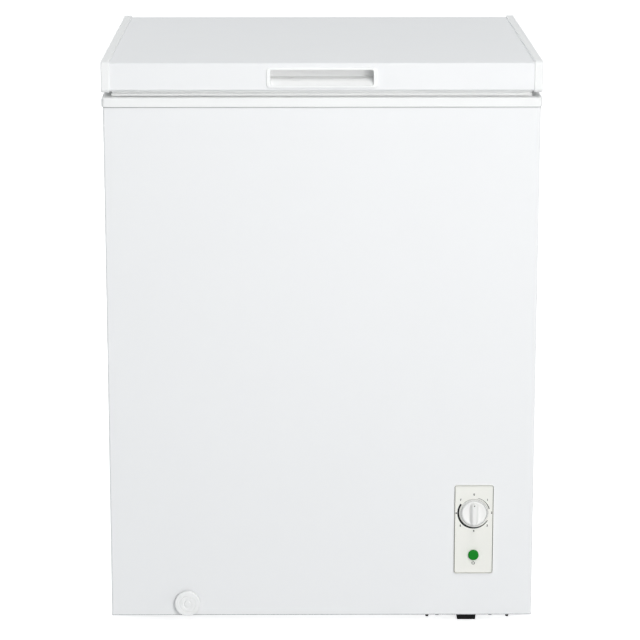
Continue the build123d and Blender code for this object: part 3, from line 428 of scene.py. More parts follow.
dress(finish("braided_sleeve", skin, sleeve, 0.0003), "wiring_loom")
grey = look(tone=(0.40, 0.41, 0.42), deep=(0.34, 0.35, 0.36), gloss=(0.4, 0.52), drift=9, grain=900)
dress(
    finish("grey_moulded_plastic", skin, grey, 0.00006),
    "rear_vent_cover", "thermostat_body", "drain_plug", "hinge_plunger_left", "hinge_plunger_right",
)


# ---- Screws --------------------------------------------------------------------------------------
# Zinc-plated pan-head screws with a cross recess hold the vent cover, the hinge housings and the
# hinge arms. All of them are driven forwards from behind, one after another by the same tree.
def turned(profile, steps):
    """A closed mesh turned about Z. The profile of radius and height starts and ends on the axis."""
    mesh = bmesh.new()
    rings = []
    for radius, height in profile:
        if radius == 0:
            rings.append([mesh.verts.new((0, 0, height))])
            continue
        turns = [2 * pi * i / steps for i in range(steps)]
        rings.append([mesh.verts.new((radius * cos(a), radius * sin(a), height)) for a in turns])
    for lower, upper in zip(rings, rings[1:]):
        for i in range(steps):
            j = (i + 1) % steps
            low_pair = [lower[i % len(lower)], lower[j % len(lower)]]
            high_pair = [upper[j % len(upper)], upper[i % len(upper)]]
            mesh.faces.new(list(dict.fromkeys(low_pair + high_pair)))
    bmesh.ops.recalc_face_normals(mesh, faces=mesh.faces)
    return mesh


def piece_from(shape, name, material, angle=35):
    """Turns a bmesh into a linked piece, smooth except over edges sharper than the angle."""
    data = bpy.data.meshes.new(name)
    shape.to_mesh(data)
    shape.free()
    data.shade_smooth()
    data.set_sharp_from_angle(angle=radians(angle))
    data.materials.append(material)
    piece = bpy.data.objects.new(name, data)
    bpy.context.scene.collection.objects.link(piece)
    return piece


def plain_mesh(holder):
    """The final mesh of an object, with its modifiers or its curve worked out."""
    graph = bpy.context.evaluated_depsgraph_get()
    return bpy.data.meshes.new_from_object(holder.evaluated_get(graph))


def settle(piece):
    """Applies every modifier of a piece and leaves it as a plain mesh."""
    solid = plain_mesh(piece)
    piece.modifiers.clear()
    piece.data = solid
    return piece


def cut(piece, tool, operation="DIFFERENCE"):
    """Cuts a tool out of a piece, or joins it on, and removes the tool."""
    step = piece.modifiers.new("cut", "BOOLEAN")
    step.operation = operation
    step.solver = "EXACT"
    step.object = tool
    settle(piece)
    bpy.data.objects.remove(tool)


def add_block(shape, size, centre):
    """Adds a box to a bmesh and returns its corners."""
    corners = bmesh.ops.create_cube(shape, size=1)["verts"]
    bmesh.ops.scale(shape, vec=size, verts=corners)
    bmesh.ops.translate(shape, vec=centre, verts=corners)
    return corners


worn_plate = {"gloss": (0.24, 0.38), "cell": 900, "scratch": 700}
plated = look(tone=(0.74, 0.74, 0.75), deep=(0.56, 0.57, 0.59), **worn_plate)
zinc_plate = finish("zinc_plate", metal, plated, 0.00001, Metallic=1.0)
# The bolts under the base take a copy of the zinc plate, much darker and less metallic.
darker_zinc_look = look(tone=(0.30, 0.31, 0.31), deep=(0.56, 0.57, 0.59), **worn_plate)
dress(finish("darker_zinc_copy", metal, darker_zinc_look, 0.00002, Metallic=0.3), "base_bolts")
dress(zinc_plate, "compressor_bolts", "hinge_pin_left", "hinge_pin_right", "thermostat_shaft")

head_radius, head_height, head_edge, dome_steps = 0.0044, 0.0024, 0.0009, 5
dome = [(0, 0), (head_radius, 0), (head_radius, head_edge)]
for step in range(1, dome_steps + 1):
    lean = radians(90 * step / dome_steps)
    radius = head_radius * cos(lean) if step < dome_steps else 0
    dome.append((radius, head_edge + (head_height - head_edge) * sin(lean)))
screw_head = piece_from(turned(dome, 28), "screw_head", zinc_plate)
slot_length, slot_width, slot_height, slot_taper, slot_lift = 0.0044, 0.0009, 0.0022, 0.45, -0.0005
for turn in (0, pi / 2):
    slot_shape = bmesh.new()
    for corner in add_block(slot_shape, (slot_length, slot_width, slot_height), (0, 0, 0)):
        if corner.co.z < 0:
            corner.co.x *= slot_taper
    bmesh.ops.translate(slot_shape, vec=(0, 0, head_height + slot_lift), verts=slot_shape.verts)
    bmesh.ops.rotate(slot_shape, matrix=Matrix.Rotation(turn, 3, "Z"), verts=slot_shape.verts)
    cut(screw_head, piece_from(slot_shape, "slot", zinc_plate))


def geometry_tree(name, **inputs):
    """A Geometry Nodes tree with named inputs of the given kinds, and its two end nodes."""
    tree = bpy.data.node_groups.new(name, "GeometryNodeTree")
    for label, kind in {"Geometry": "Geometry", **inputs}.items():
        socket = "NodeSocket" + kind
        tree.interface.new_socket(label.replace("_", " "), in_out="INPUT", socket_type=socket)
    tree.interface.new_socket("Geometry", in_out="OUTPUT", socket_type="NodeSocketGeometry")
    return tree, add_node(tree, "NodeGroupInput"), add_node(tree, "NodeGroupOutput")


def screw_tree():
    """Sets a screw on every point of a mesh, all facing one way, each turned by a random angle."""
    tree, given, result = geometry_tree(
        "row_of_screws", Screw="Object", Finish="Material", Seed="Int"
    )
    screw = add_node(tree, "GeometryNodeObjectInfo")
    spin = add_node(tree, "FunctionNodeRandomValue", {"data_type": "FLOAT"}, Max=pi / 2)
    facing = add_node(tree, "ShaderNodeCombineXYZ", X=-pi / 2)
    places = add_node(tree, "GeometryNodeInstanceOnPoints")
    turn_each = add_node(tree, "GeometryNodeRotateInstances")
    spin_axis = add_node(tree, "ShaderNodeCombineXYZ")
    realize = add_node(tree, "GeometryNodeRealizeInstances")
    paint_all = add_node(tree, "GeometryNodeSetMaterial")
    join(
        tree,
        (given.outputs["Screw"], screw.inputs["Object"]),
        (given.outputs["Seed"], spin.inputs["Seed"]),
        (given.outputs["Geometry"], places.inputs["Points"]),
        (screw.outputs["Geometry"], places.inputs["Instance"]),
        (facing.outputs["Vector"], places.inputs["Rotation"]),
        (places.outputs["Instances"], turn_each.inputs["Instances"]),
        (spin.outputs[1], spin_axis.inputs["Z"]),
        (spin_axis.outputs["Vector"], turn_each.inputs["Rotation"]),
        (turn_each.outputs["Instances"], realize.inputs["Geometry"]),
        (realize.outputs["Geometry"], paint_all.inputs["Geometry"]),
        (given.outputs["Finish"], paint_all.inputs["Material"]),
        (paint_all.outputs["Geometry"], result.inputs["Geometry"]),
    )
    return tree


def worked(name, tree, points, edges, values):
    """Runs a tree on a few points and edges, and returns the result as a plain piece."""
    base = bpy.data.meshes.new(name)
    base.from_pydata(points, edges, [])
    piece = bpy.data.objects.new(name, base)
    bpy.context.scene.collection.objects.link(piece)
    work = piece.modifiers.new("work", "NODES")
    work.node_group = tree
    for item in tree.interface.items_tree:
        if item.in_out == "INPUT" and item.name in values:
            work[item.identifier] = values[item.name]
    return settle(piece)


screw_row = screw_tree()


def screws(name, body, places, *stands_for):
    """A group of screw heads on one body, which stands for the plain ones of the frame."""
    values = {"Screw": screw_head, "Finish": zinc_plate, "Seed": len(places)}
    piece = worked(name, screw_row, places, [], values)
    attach(piece, body)
    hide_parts(*stands_for)


cover_flange, cover_edge, cover_foot, cover_top = 0.0015, 0.0065, 0.0334, 0.016
cover_low, cover_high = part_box("rear_vent_cover")
cover_middle = (cover_low + cover_high) / 2
cover_places = [
    (x, cover_low.y + cover_flange, z)
    for x in (cover_low.x + cover_edge, cover_high.x - cover_edge)
    for z in (cover_low.z + cover_foot, cover_middle.z, cover_high.z - cover_top)
]
screws("vent_cover_screw_heads", "cabinet", cover_places, "vent_cover_screws")

leaf = 0.002  # thickness of the housings' and arms' sheet
housing_half, housing_rows = 0.027, (0.014, 0.094)  # from the middle, and up from the foot
arm_half, arm_rows = 0.024, (0.025, 0.007)  # from the middle, and down from the top
housing_places, arm_places = [], []
leaf_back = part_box("lid_panel")[1].y + leaf
for side in ("left", "right"):
    housing_low, housing_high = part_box("hinge_housing_" + side)
    arm_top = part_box("hinge_arm_" + side)[1].z
    hinge_x = (housing_low.x + housing_high.x) / 2
    for s in (-1, 1):
        for up in housing_rows:
            place = (hinge_x + s * housing_half, housing_low.y + leaf, housing_low.z + up)
            housing_places.append(place)
        for down in arm_rows:
            arm_places.append((hinge_x + s * arm_half, leaf_back, arm_top - down))
screws("hinge_housing_screw_heads", "cabinet", housing_places, "hinge_base_screws")
screws("hinge_arm_screw_heads", "lid", arm_places, "hinge_arm_screws")
bpy.data.objects.remove(screw_head)


# ---- Control plate -------------------------------------------------------------------------------
# A snap-in moulding: a thin outer lip, a narrow gap whose floor is near-black painted shade, and a
# raised bead round its sunk face. A tapered black sweep and the figures 0 to 7 are printed round the
# knob, a fine dark arc at the knob's edge is painted shade, and a plain on-and-off symbol is printed
# under the lamp.
def rounded_ring(across, along, corner, steps=6):
    """Points round a rectangle with round corners, one full turn, against the clock."""
    points = []
    for quarter in range(4):
        sx = across / 2 - corner if quarter in (0, 3) else corner - across / 2
        sy = along / 2 - corner if quarter in (0, 1) else corner - along / 2
        for i in range(steps + 1):
            a = pi / 2 * (quarter + i / steps)
            points.append((sx + corner * cos(a), sy + corner * sin(a)))
    return points


def add_band(mesh, first, second):
    """Joins two closed loops of equally many vertices with a band of faces."""
    for i in range(len(first)):
        j = (i + 1) % len(first)
        mesh.faces.new((first[i], first[j], second[j], second[i]))


def stacked(rings):
    """A closed mesh through a stack of rings with equally many points, flat at both ends."""
    mesh = bmesh.new()
    loops = [[mesh.verts.new(p) for p in ring] for ring in rings]
    for lower, upper in zip(loops, loops[1:]):
        add_band(mesh, lower, upper)
    mesh.faces.new(loops[0][::-1])
    mesh.faces.new(loops[-1])
    bmesh.ops.recalc_face_normals(mesh, faces=mesh.faces)
    return mesh


def face_front(piece, x, y, z):
    """Puts a piece that was made facing up at a place on the front, its top towards the viewer."""
    piece.data.transform(Matrix.Translation((x, y, z)) @ Matrix.Rotation(pi / 2, 4, "X"))


def darken(piece, height):
    """Gives the faces that lie flat at a height the piece's second material, a near-black painted
    shade.
    """
    piece.data.materials.append(painted_shade_gap)
    for side in piece.data.polygons:
        if all(abs(piece.data.vertices[v].co.z - height) < 0.00001 for v in side.vertices):
            side.material_index = 1


plate_low, plate_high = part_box("control_panel")
plate_middle, plate_size = (plate_low + plate_high) / 2, plate_high - plate_low
sheet_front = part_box("cabinet_wrapper")[0].y
plate_rise = sheet_front - plate_low.y
face_rise, gap_rise, bead_shoulder = plate_rise - 0.0009, 0.1 * plate_rise, 0.92 * plate_rise
plate_corner, least_corner = 0.0035, 0.0008
plate_steps = [  # inset from the outline and height, from the lip to the face
    (0, -0.0004), (0, 0.85 * plate_rise), (0.0001, plate_rise), (0.0003, plate_rise),
    (0.0004, gap_rise), (0.0011, gap_rise),
    (0.00115, bead_shoulder), (0.0012, plate_rise), (0.0013, plate_rise), (0.0014, bead_shoulder),
    (0.0015, face_rise), (0.0022, face_rise),
]
plate_rings = []
for inset, rise in plate_steps:
    corner = max(plate_corner - inset, least_corner)
    outline = rounded_ring(plate_size.x - 2 * inset, plate_size.z - 2 * inset, corner)
    plate_rings.append([(x, y, rise) for x, y in outline])
plate = piece_from(stacked(plate_rings), "control_plate", warm_plastic, 40)
# A near-black floor for the plate's gap and the knob's groove: painted shade.
painted_shade_gap = finish("painted_shade_gap", skin, jet, 0.00001, Specular_IOR_Level=0.1)
darken(plate, gap_rise)
face_front(plate, plate_middle.x, sheet_front, plate_middle.z)
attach(plate, "cabinet")
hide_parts("control_panel")

print_and_shade_look = look(
    tone=(0.012, 0.012, 0.013), deep=(0.02, 0.02, 0.022), gloss=(0.45, 0.6), drift=300, grain=4000
)
print_and_shade_ink = finish("black_print_and_edge_shade", skin, print_and_shade_look, 0.000005, Specular_IOR_Level=0.1)
knob_low, knob_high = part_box("thermostat_knob")
knob_middle = (knob_low + knob_high) / 2
mark_y, mark_depth = sheet_front - face_rise, 0.00006
figure_radius, figure_reach, figure_size, figure_weight = 0.0281, 0.0262, 0.0042, 0.00018
figures = bmesh.new()
for number in range(8):
    letter = bpy.data.curves.new("figure", "FONT")
    letter.body = "9" if number == 6 else str(number)  # a 9 turned over makes a clean 6
    letter.size = figure_size
    letter.align_x = "CENTER"
    letter.align_y = "CENTER"
    letter.extrude = mark_depth / 2
    letter.offset = figure_weight
    holder = bpy.data.objects.new("figure", letter)
    bpy.context.scene.collection.objects.link(holder)
    outline = plain_mesh(holder)
    if number == 6:
        outline.transform(Matrix.Rotation(pi, 4, "Z"))
    turn = 2 * pi * number / 8
    x = max(-figure_reach, min(figure_reach, figure_radius * sin(turn)))
    outline.transform(Matrix.Translation((x, figure_radius * cos(turn), mark_depth / 2)))
    figures.from_mesh(outline)
    bpy.data.objects.remove(holder)
bmesh.ops.remove_doubles(figures, verts=figures.verts, dist=0.000001)
dial_figures = piece_from(figures, "dial_figures", print_and_shade_ink)
face_front(dial_figures, knob_middle.x, mark_y, knob_middle.z)
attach(dial_figures, "cabinet")


def printed_sweep(shape, radius, start, end, width_at, steps):
    """A thin raised arc. Angles run with the clock from the top, and its width follows a rule."""
    rings = []
    for i in range(steps + 1):
        a = radians(start + (end - start) * i / steps)
        half = width_at(i / steps) / 2
        inner, outer = radius - half, radius + half
        section = ((inner, 0), (outer, 0), (outer, mark_depth), (inner, mark_depth))
        rings.append([shape.verts.new((r * sin(a), r * cos(a), z)) for r, z in section])
    for first, second in zip(rings, rings[1:]):
        add_band(shape, first, second)
    shape.faces.new(rings[0])
    shape.faces.new(rings[-1][::-1])


sweep_radius, ring_radius, ring_width = 0.0233, 0.0209, 0.0003
sweep_shape = bmesh.new()
printed_sweep(
    sweep_shape, sweep_radius, -55, -240, lambda f: 0.0028 - 0.0019 * max(0, (f - 0.5) / 0.5), 72
)
printed_sweep(sweep_shape, sweep_radius, 75, 14, lambda f: 0.0013 - 0.0009 * f, 30)
# The fine arc just outside the knob's edge, on its top and right, is painted shade: a dark line in
# the ink.
printed_sweep(sweep_shape, ring_radius, -48, 112, lambda f: ring_width, 60)
bmesh.ops.recalc_face_normals(sweep_shape, faces=sweep_shape.faces)
cold_sweep = piece_from(sweep_shape, "cold_sweep", print_and_shade_ink)
face_front(cold_sweep, knob_middle.x, mark_y, knob_middle.z)
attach(cold_sweep, "cabinet")

symbol_radius, symbol_line, symbol_drop = 0.0021, 0.0008, 0.0129
bar_length, bar_lift = 0.0026, 0.0018
lamp_low, lamp_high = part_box("power_lamp")
lamp_z = (lamp_low.z + lamp_high.z) / 2
symbol = bmesh.new()
printed_sweep(symbol, symbol_radius, 34, 326, lambda f: symbol_line, 32)
add_block(symbol, (symbol_line, bar_length, mark_depth), (0, bar_lift, mark_depth / 2))
bmesh.ops.recalc_face_normals(symbol, faces=symbol.faces)
power_symbol = piece_from(symbol, "power_symbol", print_and_shade_ink)
face_front(power_symbol, plate_middle.x, mark_y, lamp_z - symbol_drop)
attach(power_symbol, "cabinet")


# ---- Lamp ----------------------------------------------------------------------------------------
# A green lens that snaps into the plate: a low drum with a rounded edge and fine rings moulded in
# behind its face.
lamp_rise = sheet_front - lamp_low.y
lamp_radius = (lamp_high.x - lamp_low.x) / 2
edge_round, hollow = 0.0016, 0.00015
lens_profile = [(0, 0), (lamp_radius, 0), (lamp_radius, lamp_rise - edge_round)]
for step in range(1, 7):
    lean = radians(15 * step)
    radius = lamp_radius - edge_round * (1 - cos(lean))
    lens_profile.append((radius, lamp_rise - edge_round * (1 - sin(lean))))
lens_profile += [(lamp_radius * 0.4, lamp_rise - 0.0001), (0, lamp_rise - hollow)]
green = look(
    tone=(0.008, 0.235, 0.019), deep=(0.006, 0.205, 0.016), gloss=(0.2, 0.3), drift=180, grain=900
)
green_lens = finish("green_lens", skin, green, 0.00005, Specular_IOR_Level=0.08)
lens_tree = green_lens.node_tree
lens_centre = add_node(lens_tree, "ShaderNodeMapping", Location=(-plate_middle.x, 0, -lamp_z))
lens_rings = add_node(
    lens_tree, "ShaderNodeTexWave", {"wave_type": "RINGS", "rings_direction": "Y"}, Scale=250
)
join(
    lens_tree,
    (lens_tree.nodes["Texture Coordinate"].outputs["Object"], lens_centre.inputs["Vector"]),
    (lens_centre.outputs["Vector"], lens_rings.inputs["Vector"]),
    (lens_rings.outputs["Fac"], lens_tree.nodes["Bump"].inputs["Height"]),
)
lens = piece_from(turned(lens_profile, 72), "lamp_lens", green_lens)
face_front(lens, plate_middle.x, sheet_front, lamp_z)
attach(lens, "cabinet")
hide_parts("power_lamp")


# ---- Thermostat knob -----------------------------------------------------------------------------
# A white moulded knob: a thin skirt, a body with a rounded shoulder and a dished face, and one
# straight drafted grip across it with a small sunk dot at its pointer end. The groove between skirt
# and body has a near-black floor, and the dot is cut with the same material: both are painted shade.
# Its white is lighter than the plate's, as painted light against the shadow that the grip throws.
knob_radius = (knob_high.x - knob_low.x) / 2
knob_rise = knob_high.y - knob_low.y
groove_rise = 0.02
knob_profile = [  # in shares of the radius and of the rise
    (0, 0), (1.0, 0), (1.0, 0.10), (0.985, 0.14), (0.955, 0.15),
    (0.941, groove_rise), (0.928, groove_rise),
    (0.91, 0.17), (0.895, 0.24), (0.87, 0.31), (0.83, 0.36), (0.79, 0.37), (0.74, 0.35),
    (0.68, 0.30), (0.50, 0.25), (0, 0.235),
]
# A lighter copy of the warm white: painted light against the shade that the grip throws.
knob_lit_abs = look(tone=(0.87, 0.86, 0.835), deep=(0.87, 0.87, 0.866), **eroded)
knob_lit_plastic = finish("knob_lit_plastic", skin, knob_lit_abs, 0.00002, Specular_IOR_Level=0.3)
knob_outline = [(r * knob_radius, h * knob_rise) for r, h in knob_profile]
knob = piece_from(turned(knob_outline, 120), "knob", knob_lit_plastic)
# The groove's floor gets the near-black painted shade.
darken(knob, groove_rise * knob_rise)

grip_width, grip_length, grip_corner, end_draft = 0.0140, 0.0352, 0.0064, 0.8
grip_layers = [  # inset of each flank, and height as a share of the rise
    (0, 0.12), (0, 0.24), (0.0008, 0.32), (0.0033, 0.80), (0.0037, 0.90), (0.0041, 0.96),
    (0.0045, 0.99), (0.0051, 1.0),
]
grip_rings = []
for inset, share in grip_layers:
    outline = rounded_ring(
        grip_width - 2 * inset, grip_length - end_draft * inset, grip_corner - inset
    )
    grip_rings.append([(x, y, share * knob_rise) for x, y in outline])
cut(knob, piece_from(stacked(grip_rings), "grip", knob_lit_plastic), "UNION")
dot_radius, dot_height, dot_depth, dot_from_end = 0.0009, 0.001, 0.0004, 0.0036
dot_profile = [(0, 0), (dot_radius, 0), (dot_radius, dot_height), (0, dot_height)]
# The dot is cut with the near-black painted shade material.
dot = piece_from(turned(dot_profile, 24), "dot", painted_shade_gap)
dot.data.transform(Matrix.Translation((0, grip_length / 2 - dot_from_end, knob_rise - dot_depth)))
cut(knob, dot)
knob.data.shade_smooth()
knob.data.set_sharp_from_angle(angle=radians(35))
face_front(knob, knob_middle.x, knob_high.y, knob_middle.z)
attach(knob, "thermostat_control")
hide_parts("thermostat_knob")


# ---- Painted shade under the rim and along the lower hem -----------------------------------------
# A thin grey ring all round under the collar is painted shadow, the shade of the collar's lip on the
# sheet, and a thin grey ring on the folded sheet's lower edge is painted shade of its bend.
wall_low, wall_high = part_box("cabinet_wrapper")
wall_middle, wall_size = (wall_low + wall_high) / 2, wall_high - wall_low
line_out, line_in, wall_bend = -0.0003, 0.0004, 0.0028


def wall_line(name, z0, z1, material):
    """A thin upright ring that lies on the cabinet's outer sheet."""
    shape = bmesh.new()
    loops = []
    for inset, z in ((line_out, z1), (line_out, z0), (line_in, z0), (line_in, z1)):
        plan = rounded_ring(wall_size.x - 2 * inset, wall_size.y - 2 * inset, wall_bend - inset)
        loops.append([shape.verts.new((x, y + wall_middle.y, z)) for x, y in plan])
    for lower, upper in zip(loops, loops[1:] + loops[:1]):
        add_band(shape, lower, upper)
    bmesh.ops.recalc_face_normals(shape, faces=shape.faces)
    line = piece_from(shape, name, material)
    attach(line, "cabinet")


collar_height, collar_shadow_width, hem_width = 0.0129, 0.0011, 0.0009
# The grey ring under the collar's lip is painted shadow.
collar_shadow_look = look(
    tone=(0.34, 0.34, 0.34), deep=(0.28, 0.28, 0.28), gloss=(0.8, 0.9), drift=30, grain=2500
)
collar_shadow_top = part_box("rim_frame")[1].z - collar_height
collar_shadow_paint = finish("painted_collar_shadow", skin, collar_shadow_look, 0.00008, Specular_IOR_Level=0.1)
wall_line("rim_tape", collar_shadow_top - collar_shadow_width, collar_shadow_top, collar_shadow_paint)
# A grey line along the sheet's lower edge: painted shade of the bend.
hem_shade_look = look(tone=(0.26, 0.265, 0.27), deep=(0.56, 0.57, 0.59), **worn_plate)
painted_hem_shade = finish("painted_hem_shade", metal, hem_shade_look, 0.00001, Metallic=0.2)
wall_line("lower_hem", wall_low.z, wall_low.z + hem_width, painted_hem_shade)


# ---- Corner webs ---------------------------------------------------------------------------------
# Rounded webs close the square corners of the rim's opening, and small flat ones close the corners of
# the lid's lower edge, so that no foam shows there.
def corner_webs(name, body, low, high, z0, z1, radius):
    """Four upright prisms in the corners of a rectangle, hollowed on their inner side by an arc."""
    arc = radius - 0.0005
    shape = bmesh.new()
    for sx, x in ((1, low.x), (-1, high.x)):
        for sy, y in ((1, low.y), (-1, high.y)):
            outline = [(0, 0), (radius, 0)]
            for step in range(1, 12):
                lean = radians(-90 - 7.5 * step)
                outline.append((radius + arc * cos(lean), radius + arc * sin(lean)))
            outline.append((0, radius))
            foot, head = (
                [shape.verts.new((x + sx * u, y + sy * v, z)) for u, v in outline] for z in (z0, z1)
            )
            shape.faces.new(foot)
            shape.faces.new(head)
            add_band(shape, foot, head)
    bmesh.ops.recalc_face_normals(shape, faces=shape.faces)
    webs = piece_from(shape, name, white_plastic)
    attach(webs, body)


rim_low, rim_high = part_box("rim_frame")
wall = Vector((0.0465, 0.0465, 0))
ledge_z, shoulder_z = rim_high.z - 0.0118, rim_high.z - 0.0012
opening = (rim_low + wall, rim_high - wall)
corner_webs("rim_corner_webs", "cabinet", *opening, ledge_z, shoulder_z, 0.0145)
formed_low, formed_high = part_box("lid_liner")
seam = Vector((0.0009, 0.0009, 0))
edge_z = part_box("lid_gasket")[1].z
edge = (formed_low - seam, formed_high + seam)
corner_webs("lid_corner_webs", "lid", *edge, edge_z + 0.0001, edge_z + 0.0012, 0.026)


# ---- Lid seal ------------------------------------------------------------------------------------
# Soft white vinyl with a magnet strip inside: an anchor under the lid, a thin bellows and the bulb
# that meets the rim. Four lengths are welded at mitred corners.
seal_low, seal_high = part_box("lid_gasket")
seal_profile = [  # inset from the outline, and height as a share of the seal's
    (0.0002, 1.0), (0, 0.97), (0, 0.72), (0.0006, 0.68), (0.0016, 0.65), (0.0018, 0.60),
    (0.0016, 0.55), (0.0006, 0.52), (0.0002, 0.49), (0, 0.44), (0, 0.14), (0.0006, 0.04),
    (0.0016, 0), (0.0150, 0), (0.0164, 0.04), (0.0170, 0.14), (0.0170, 0.36), (0.0164, 0.44),
    (0.0136, 0.49), (0.0130, 0.60), (0.0135, 0.70), (0.0170, 0.74), (0.0180, 0.80), (0.0180, 0.97),
    (0.0178, 1.0),
]
seal_shape = bmesh.new()
seal_corners = []
for right, back in ((0, 0), (1, 0), (1, 1), (0, 1)):
    corner = []
    for inset, rise in seal_profile:
        x = seal_high.x - inset if right else seal_low.x + inset
        y = seal_high.y - inset if back else seal_low.y + inset
        z = seal_low.z + rise * (seal_high.z - seal_low.z)
        corner.append(seal_shape.verts.new((x, y, z)))
    seal_corners.append(corner)
for here, there in zip(seal_corners, seal_corners[1:] + seal_corners[:1]):
    add_band(seal_shape, here, there)
bmesh.ops.recalc_face_normals(seal_shape, faces=seal_shape.faces)
# White vinyl, partly its own white and partly painted light: its tone is raised against the shade of
# the slot under the lid.
lit_vinyl_look = look(
    tone=(0.94, 0.945, 0.94), deep=(0.925, 0.93, 0.925), gloss=(0.45, 0.58), drift=12, grain=1200
)
seal = piece_from(seal_shape, "lid_seal", finish("soft_white_vinyl_painted_lighter", skin, lit_vinyl_look, 0.00003), 50)
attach(seal, "lid")
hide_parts("lid_gasket")


# ---- Hinges --------------------------------------------------------------------------------------
# Pressed steel housings and arms in white powder coat. Between them a plunger rides on a spring of
# round wire, closed at both ends, which stretches as the lid goes up.
powder = look(
    tone=(0.85, 0.86, 0.86), deep=(0.81, 0.82, 0.825), gloss=(0.38, 0.5), drift=12, grain=900
)
powder_coat = finish("white_powder_coat", skin, powder, 0.00009)
dress(powder_coat, "hinge_housing_left", "hinge_housing_right", "hinge_arm_left", "hinge_arm_right")


def wire_tree():
    """Turns chains of edges into bent round wire with capped ends."""
    tree, given, result = geometry_tree(
        "bent_round_wire",
        Wire_Radius="Float", Bend_Radius="Float", Sides="Int", Bend_Steps="Int", Finish="Material",
    )
    line = add_node(tree, "GeometryNodeMeshToCurve")
    bend = add_node(tree, "GeometryNodeFilletCurve", {"mode": "POLY"}, Limit_Radius=True)
    section = add_node(tree, "GeometryNodeCurvePrimitiveCircle")
    wire = add_node(tree, "GeometryNodeCurveToMesh", Fill_Caps=True)
    smooth = add_node(tree, "GeometryNodeSetShadeSmooth")
    realize = add_node(tree, "GeometryNodeRealizeInstances")
    coat = add_node(tree, "GeometryNodeSetMaterial")
    join(
        tree,
        (given.outputs["Geometry"], line.inputs["Mesh"]),
        (line.outputs["Curve"], bend.inputs["Curve"]),
        (given.outputs["Bend Radius"], bend.inputs["Radius"]),
        (given.outputs["Bend Steps"], bend.inputs["Count"]),
        (given.outputs["Sides"], section.inputs["Resolution"]),
        (given.outputs["Wire Radius"], section.inputs["Radius"]),
        (bend.outputs["Curve"], wire.inputs["Curve"]),
        (section.outputs["Curve"], wire.inputs["Profile Curve"]),
        (wire.outputs["Mesh"], smooth.inputs["Geometry"]),
        (smooth.outputs["Geometry"], realize.inputs["Geometry"]),
        (realize.outputs["Geometry"], coat.inputs["Geometry"]),
        (given.outputs["Finish"], coat.inputs["Material"]),
        (coat.outputs["Geometry"], result.inputs["Geometry"]),
    )
    return tree


round_wire = wire_tree()
oiled = look(
    tone=(0.30, 0.31, 0.33), deep=(0.17, 0.175, 0.19), gloss=(0.28, 0.44), cell=600, scratch=400
)
spring_steel = finish("oiled_spring_steel", metal, oiled, 0.00002, Metallic=1.0)
coil_wire, coil_turns, coil_steps = 0.0013, 9, 30
for side in ("left", "right"):
    coil_low, coil_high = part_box("hinge_spring_" + side)
    coil_x = (coil_low.x + coil_high.x) / 2
    coil_y = (coil_low.y + coil_high.y) / 2
    coil_radius = (coil_high.x - coil_low.x) / 2 - coil_wire
    climb = (coil_high.z - coil_low.z - 6 * coil_wire) / (coil_turns - 2)
    points = []
    for i in range(coil_turns * coil_steps + 1):
        turn = i / coil_steps
        open_turns = min(max(turn - 1, 0), coil_turns - 2)
        closed_turns = turn - open_turns
        z = coil_low.z + coil_wire + 2 * coil_wire * closed_turns + climb * open_turns
        a = 2 * pi * turn
        points.append((coil_x + coil_radius * cos(a), coil_y + coil_radius * sin(a), z))
    edges = [(i, i + 1) for i in range(len(points) - 1)]
    values = {"Wire Radius": coil_wire, "Bend Radius": 0.0, "Sides": 10, "Bend Steps": 1}
    values["Finish"] = spring_steel
    coil = worked("hinge_coil_" + side, round_wire, points, edges, values)
    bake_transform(coil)
    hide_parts("hinge_spring_" + side)


# ---- Basket --------------------------------------------------------------------------------------
# Welded round wire dipped in white: three hoops, wires bent under the floor both ways, and four hooks
# that rest on the rim's ledge.
basket_low, basket_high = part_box("basket")
thick_wire, thin_wire, hook_wire = 0.0024, 0.0015, 0.0018
thick_bend, thin_bend, hook_bend = 0.0136, 0.014, 0.004
hook_out, hook_up, hook_apart, hook_down = 0.0132, 0.0209, 0.062, 0.045
hook_foot, hook_head = 0.0066, 0.0028
side_lean, floor_inset, floor_drop = 0.0024, 0.018, 0.0006
middle_hoop, lower_hoop = (0.006, 0.0909), (0.012, 0.1509)  # inset, and depth under the top
cross_count, cross_margin, long_count, long_margin = 13, 0.028, 7, 0.034
hoop_y0, hoop_y1 = basket_low.y + hook_out, basket_high.y - hook_out
hoop_z = basket_high.z - hook_up
floor_z = basket_low.z + 2 * thin_wire + floor_drop


def chain(points, closed, wires):
    """Adds one chain of points, open or closed, to the points and edges of a set of wires."""
    first = len(wires[0])
    wires[0].extend(points)
    wires[1].extend((first + i, first + i + 1) for i in range(len(points) - 1))
    if closed:
        wires[1].append((first + len(points) - 1, first))


def hoop(inset, z, wire):
    """The four corners of a level hoop."""
    x0, x1 = basket_low.x + inset + wire, basket_high.x - inset - wire
    y0, y1 = hoop_y0 + inset + wire, hoop_y1 - inset - wire
    return [(x0, y0, z), (x1, y0, z), (x1, y1, z), (x0, y1, z)]


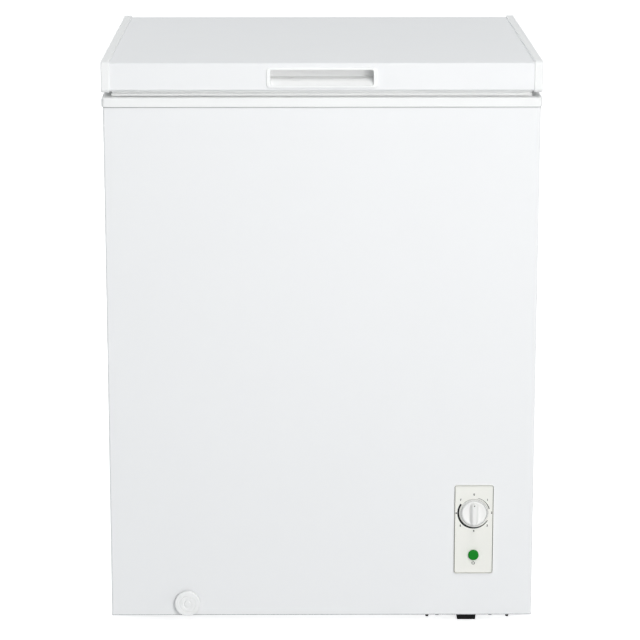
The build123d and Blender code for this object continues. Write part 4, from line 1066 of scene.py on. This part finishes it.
thick_wires, thin_wires, hook_wires = ([], []), ([], []), ([], [])
chain(hoop(0, hoop_z, thick_wire), True, thick_wires)
for hoop_inset, depth in (middle_hoop, lower_hoop):
    chain(hoop(hoop_inset, basket_high.z - depth, thin_wire), True, thin_wires)
lean, inset = side_lean + thin_wire, floor_inset + thin_wire
for i in range(cross_count):
    y = hoop_y0 + cross_margin + i * (hoop_y1 - hoop_y0 - 2 * cross_margin) / (cross_count - 1)
    x0, x1, z = basket_low.x, basket_high.x, floor_z
    bend = [(x0 + lean, y, hoop_z), (x0 + inset, y, z), (x1 - inset, y, z), (x1 - lean, y, hoop_z)]
    chain(bend, False, thin_wires)
for i in range(long_count):
    between = (basket_high.x - basket_low.x - 2 * long_margin) / (long_count - 1)
    x = basket_low.x + long_margin + i * between
    y0, y1, z = hoop_y0, hoop_y1, floor_z - floor_drop
    bend = [(x, y0 + lean, hoop_z), (x, y0 + inset, z), (x, y1 - inset, z), (x, y1 - lean, hoop_z)]
    chain(bend, False, thin_wires)
hook_z = basket_high.z - hook_wire
for edge, s in ((hoop_y0, 1), (hoop_y1, -1)):
    for dx in (-hook_apart, hook_apart):
        x = (basket_low.x + basket_high.x) / 2 + dx
        foot, head = (x, edge + s * hook_foot, hoop_z - hook_down), (x, edge + s * hook_head, hook_z)
        chain([foot, head, (x, edge - s * hook_out, hook_z)], False, hook_wires)
dip = look(
    tone=(0.86, 0.865, 0.86), deep=(0.82, 0.825, 0.82), gloss=(0.22, 0.34), drift=25, grain=500
)
white_dip = finish("white_dipped_wire", skin, dip, 0.00006)
basket_shape = bmesh.new()
for wires, wire, bend_radius in (
    (thick_wires, thick_wire, thick_bend),
    (thin_wires, thin_wire, thin_bend),
    (hook_wires, hook_wire, hook_bend),
):
    values = {"Wire Radius": wire, "Bend Radius": bend_radius, "Sides": 10, "Bend Steps": 6}
    values["Finish"] = white_dip
    part = worked("wire_basket", round_wire, wires[0], wires[1], values)
    basket_shape.from_mesh(part.data)
    bpy.data.objects.remove(part)
basket = piece_from(basket_shape, "wire_basket", white_dip, 60)
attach(basket, "wire_basket")
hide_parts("basket")
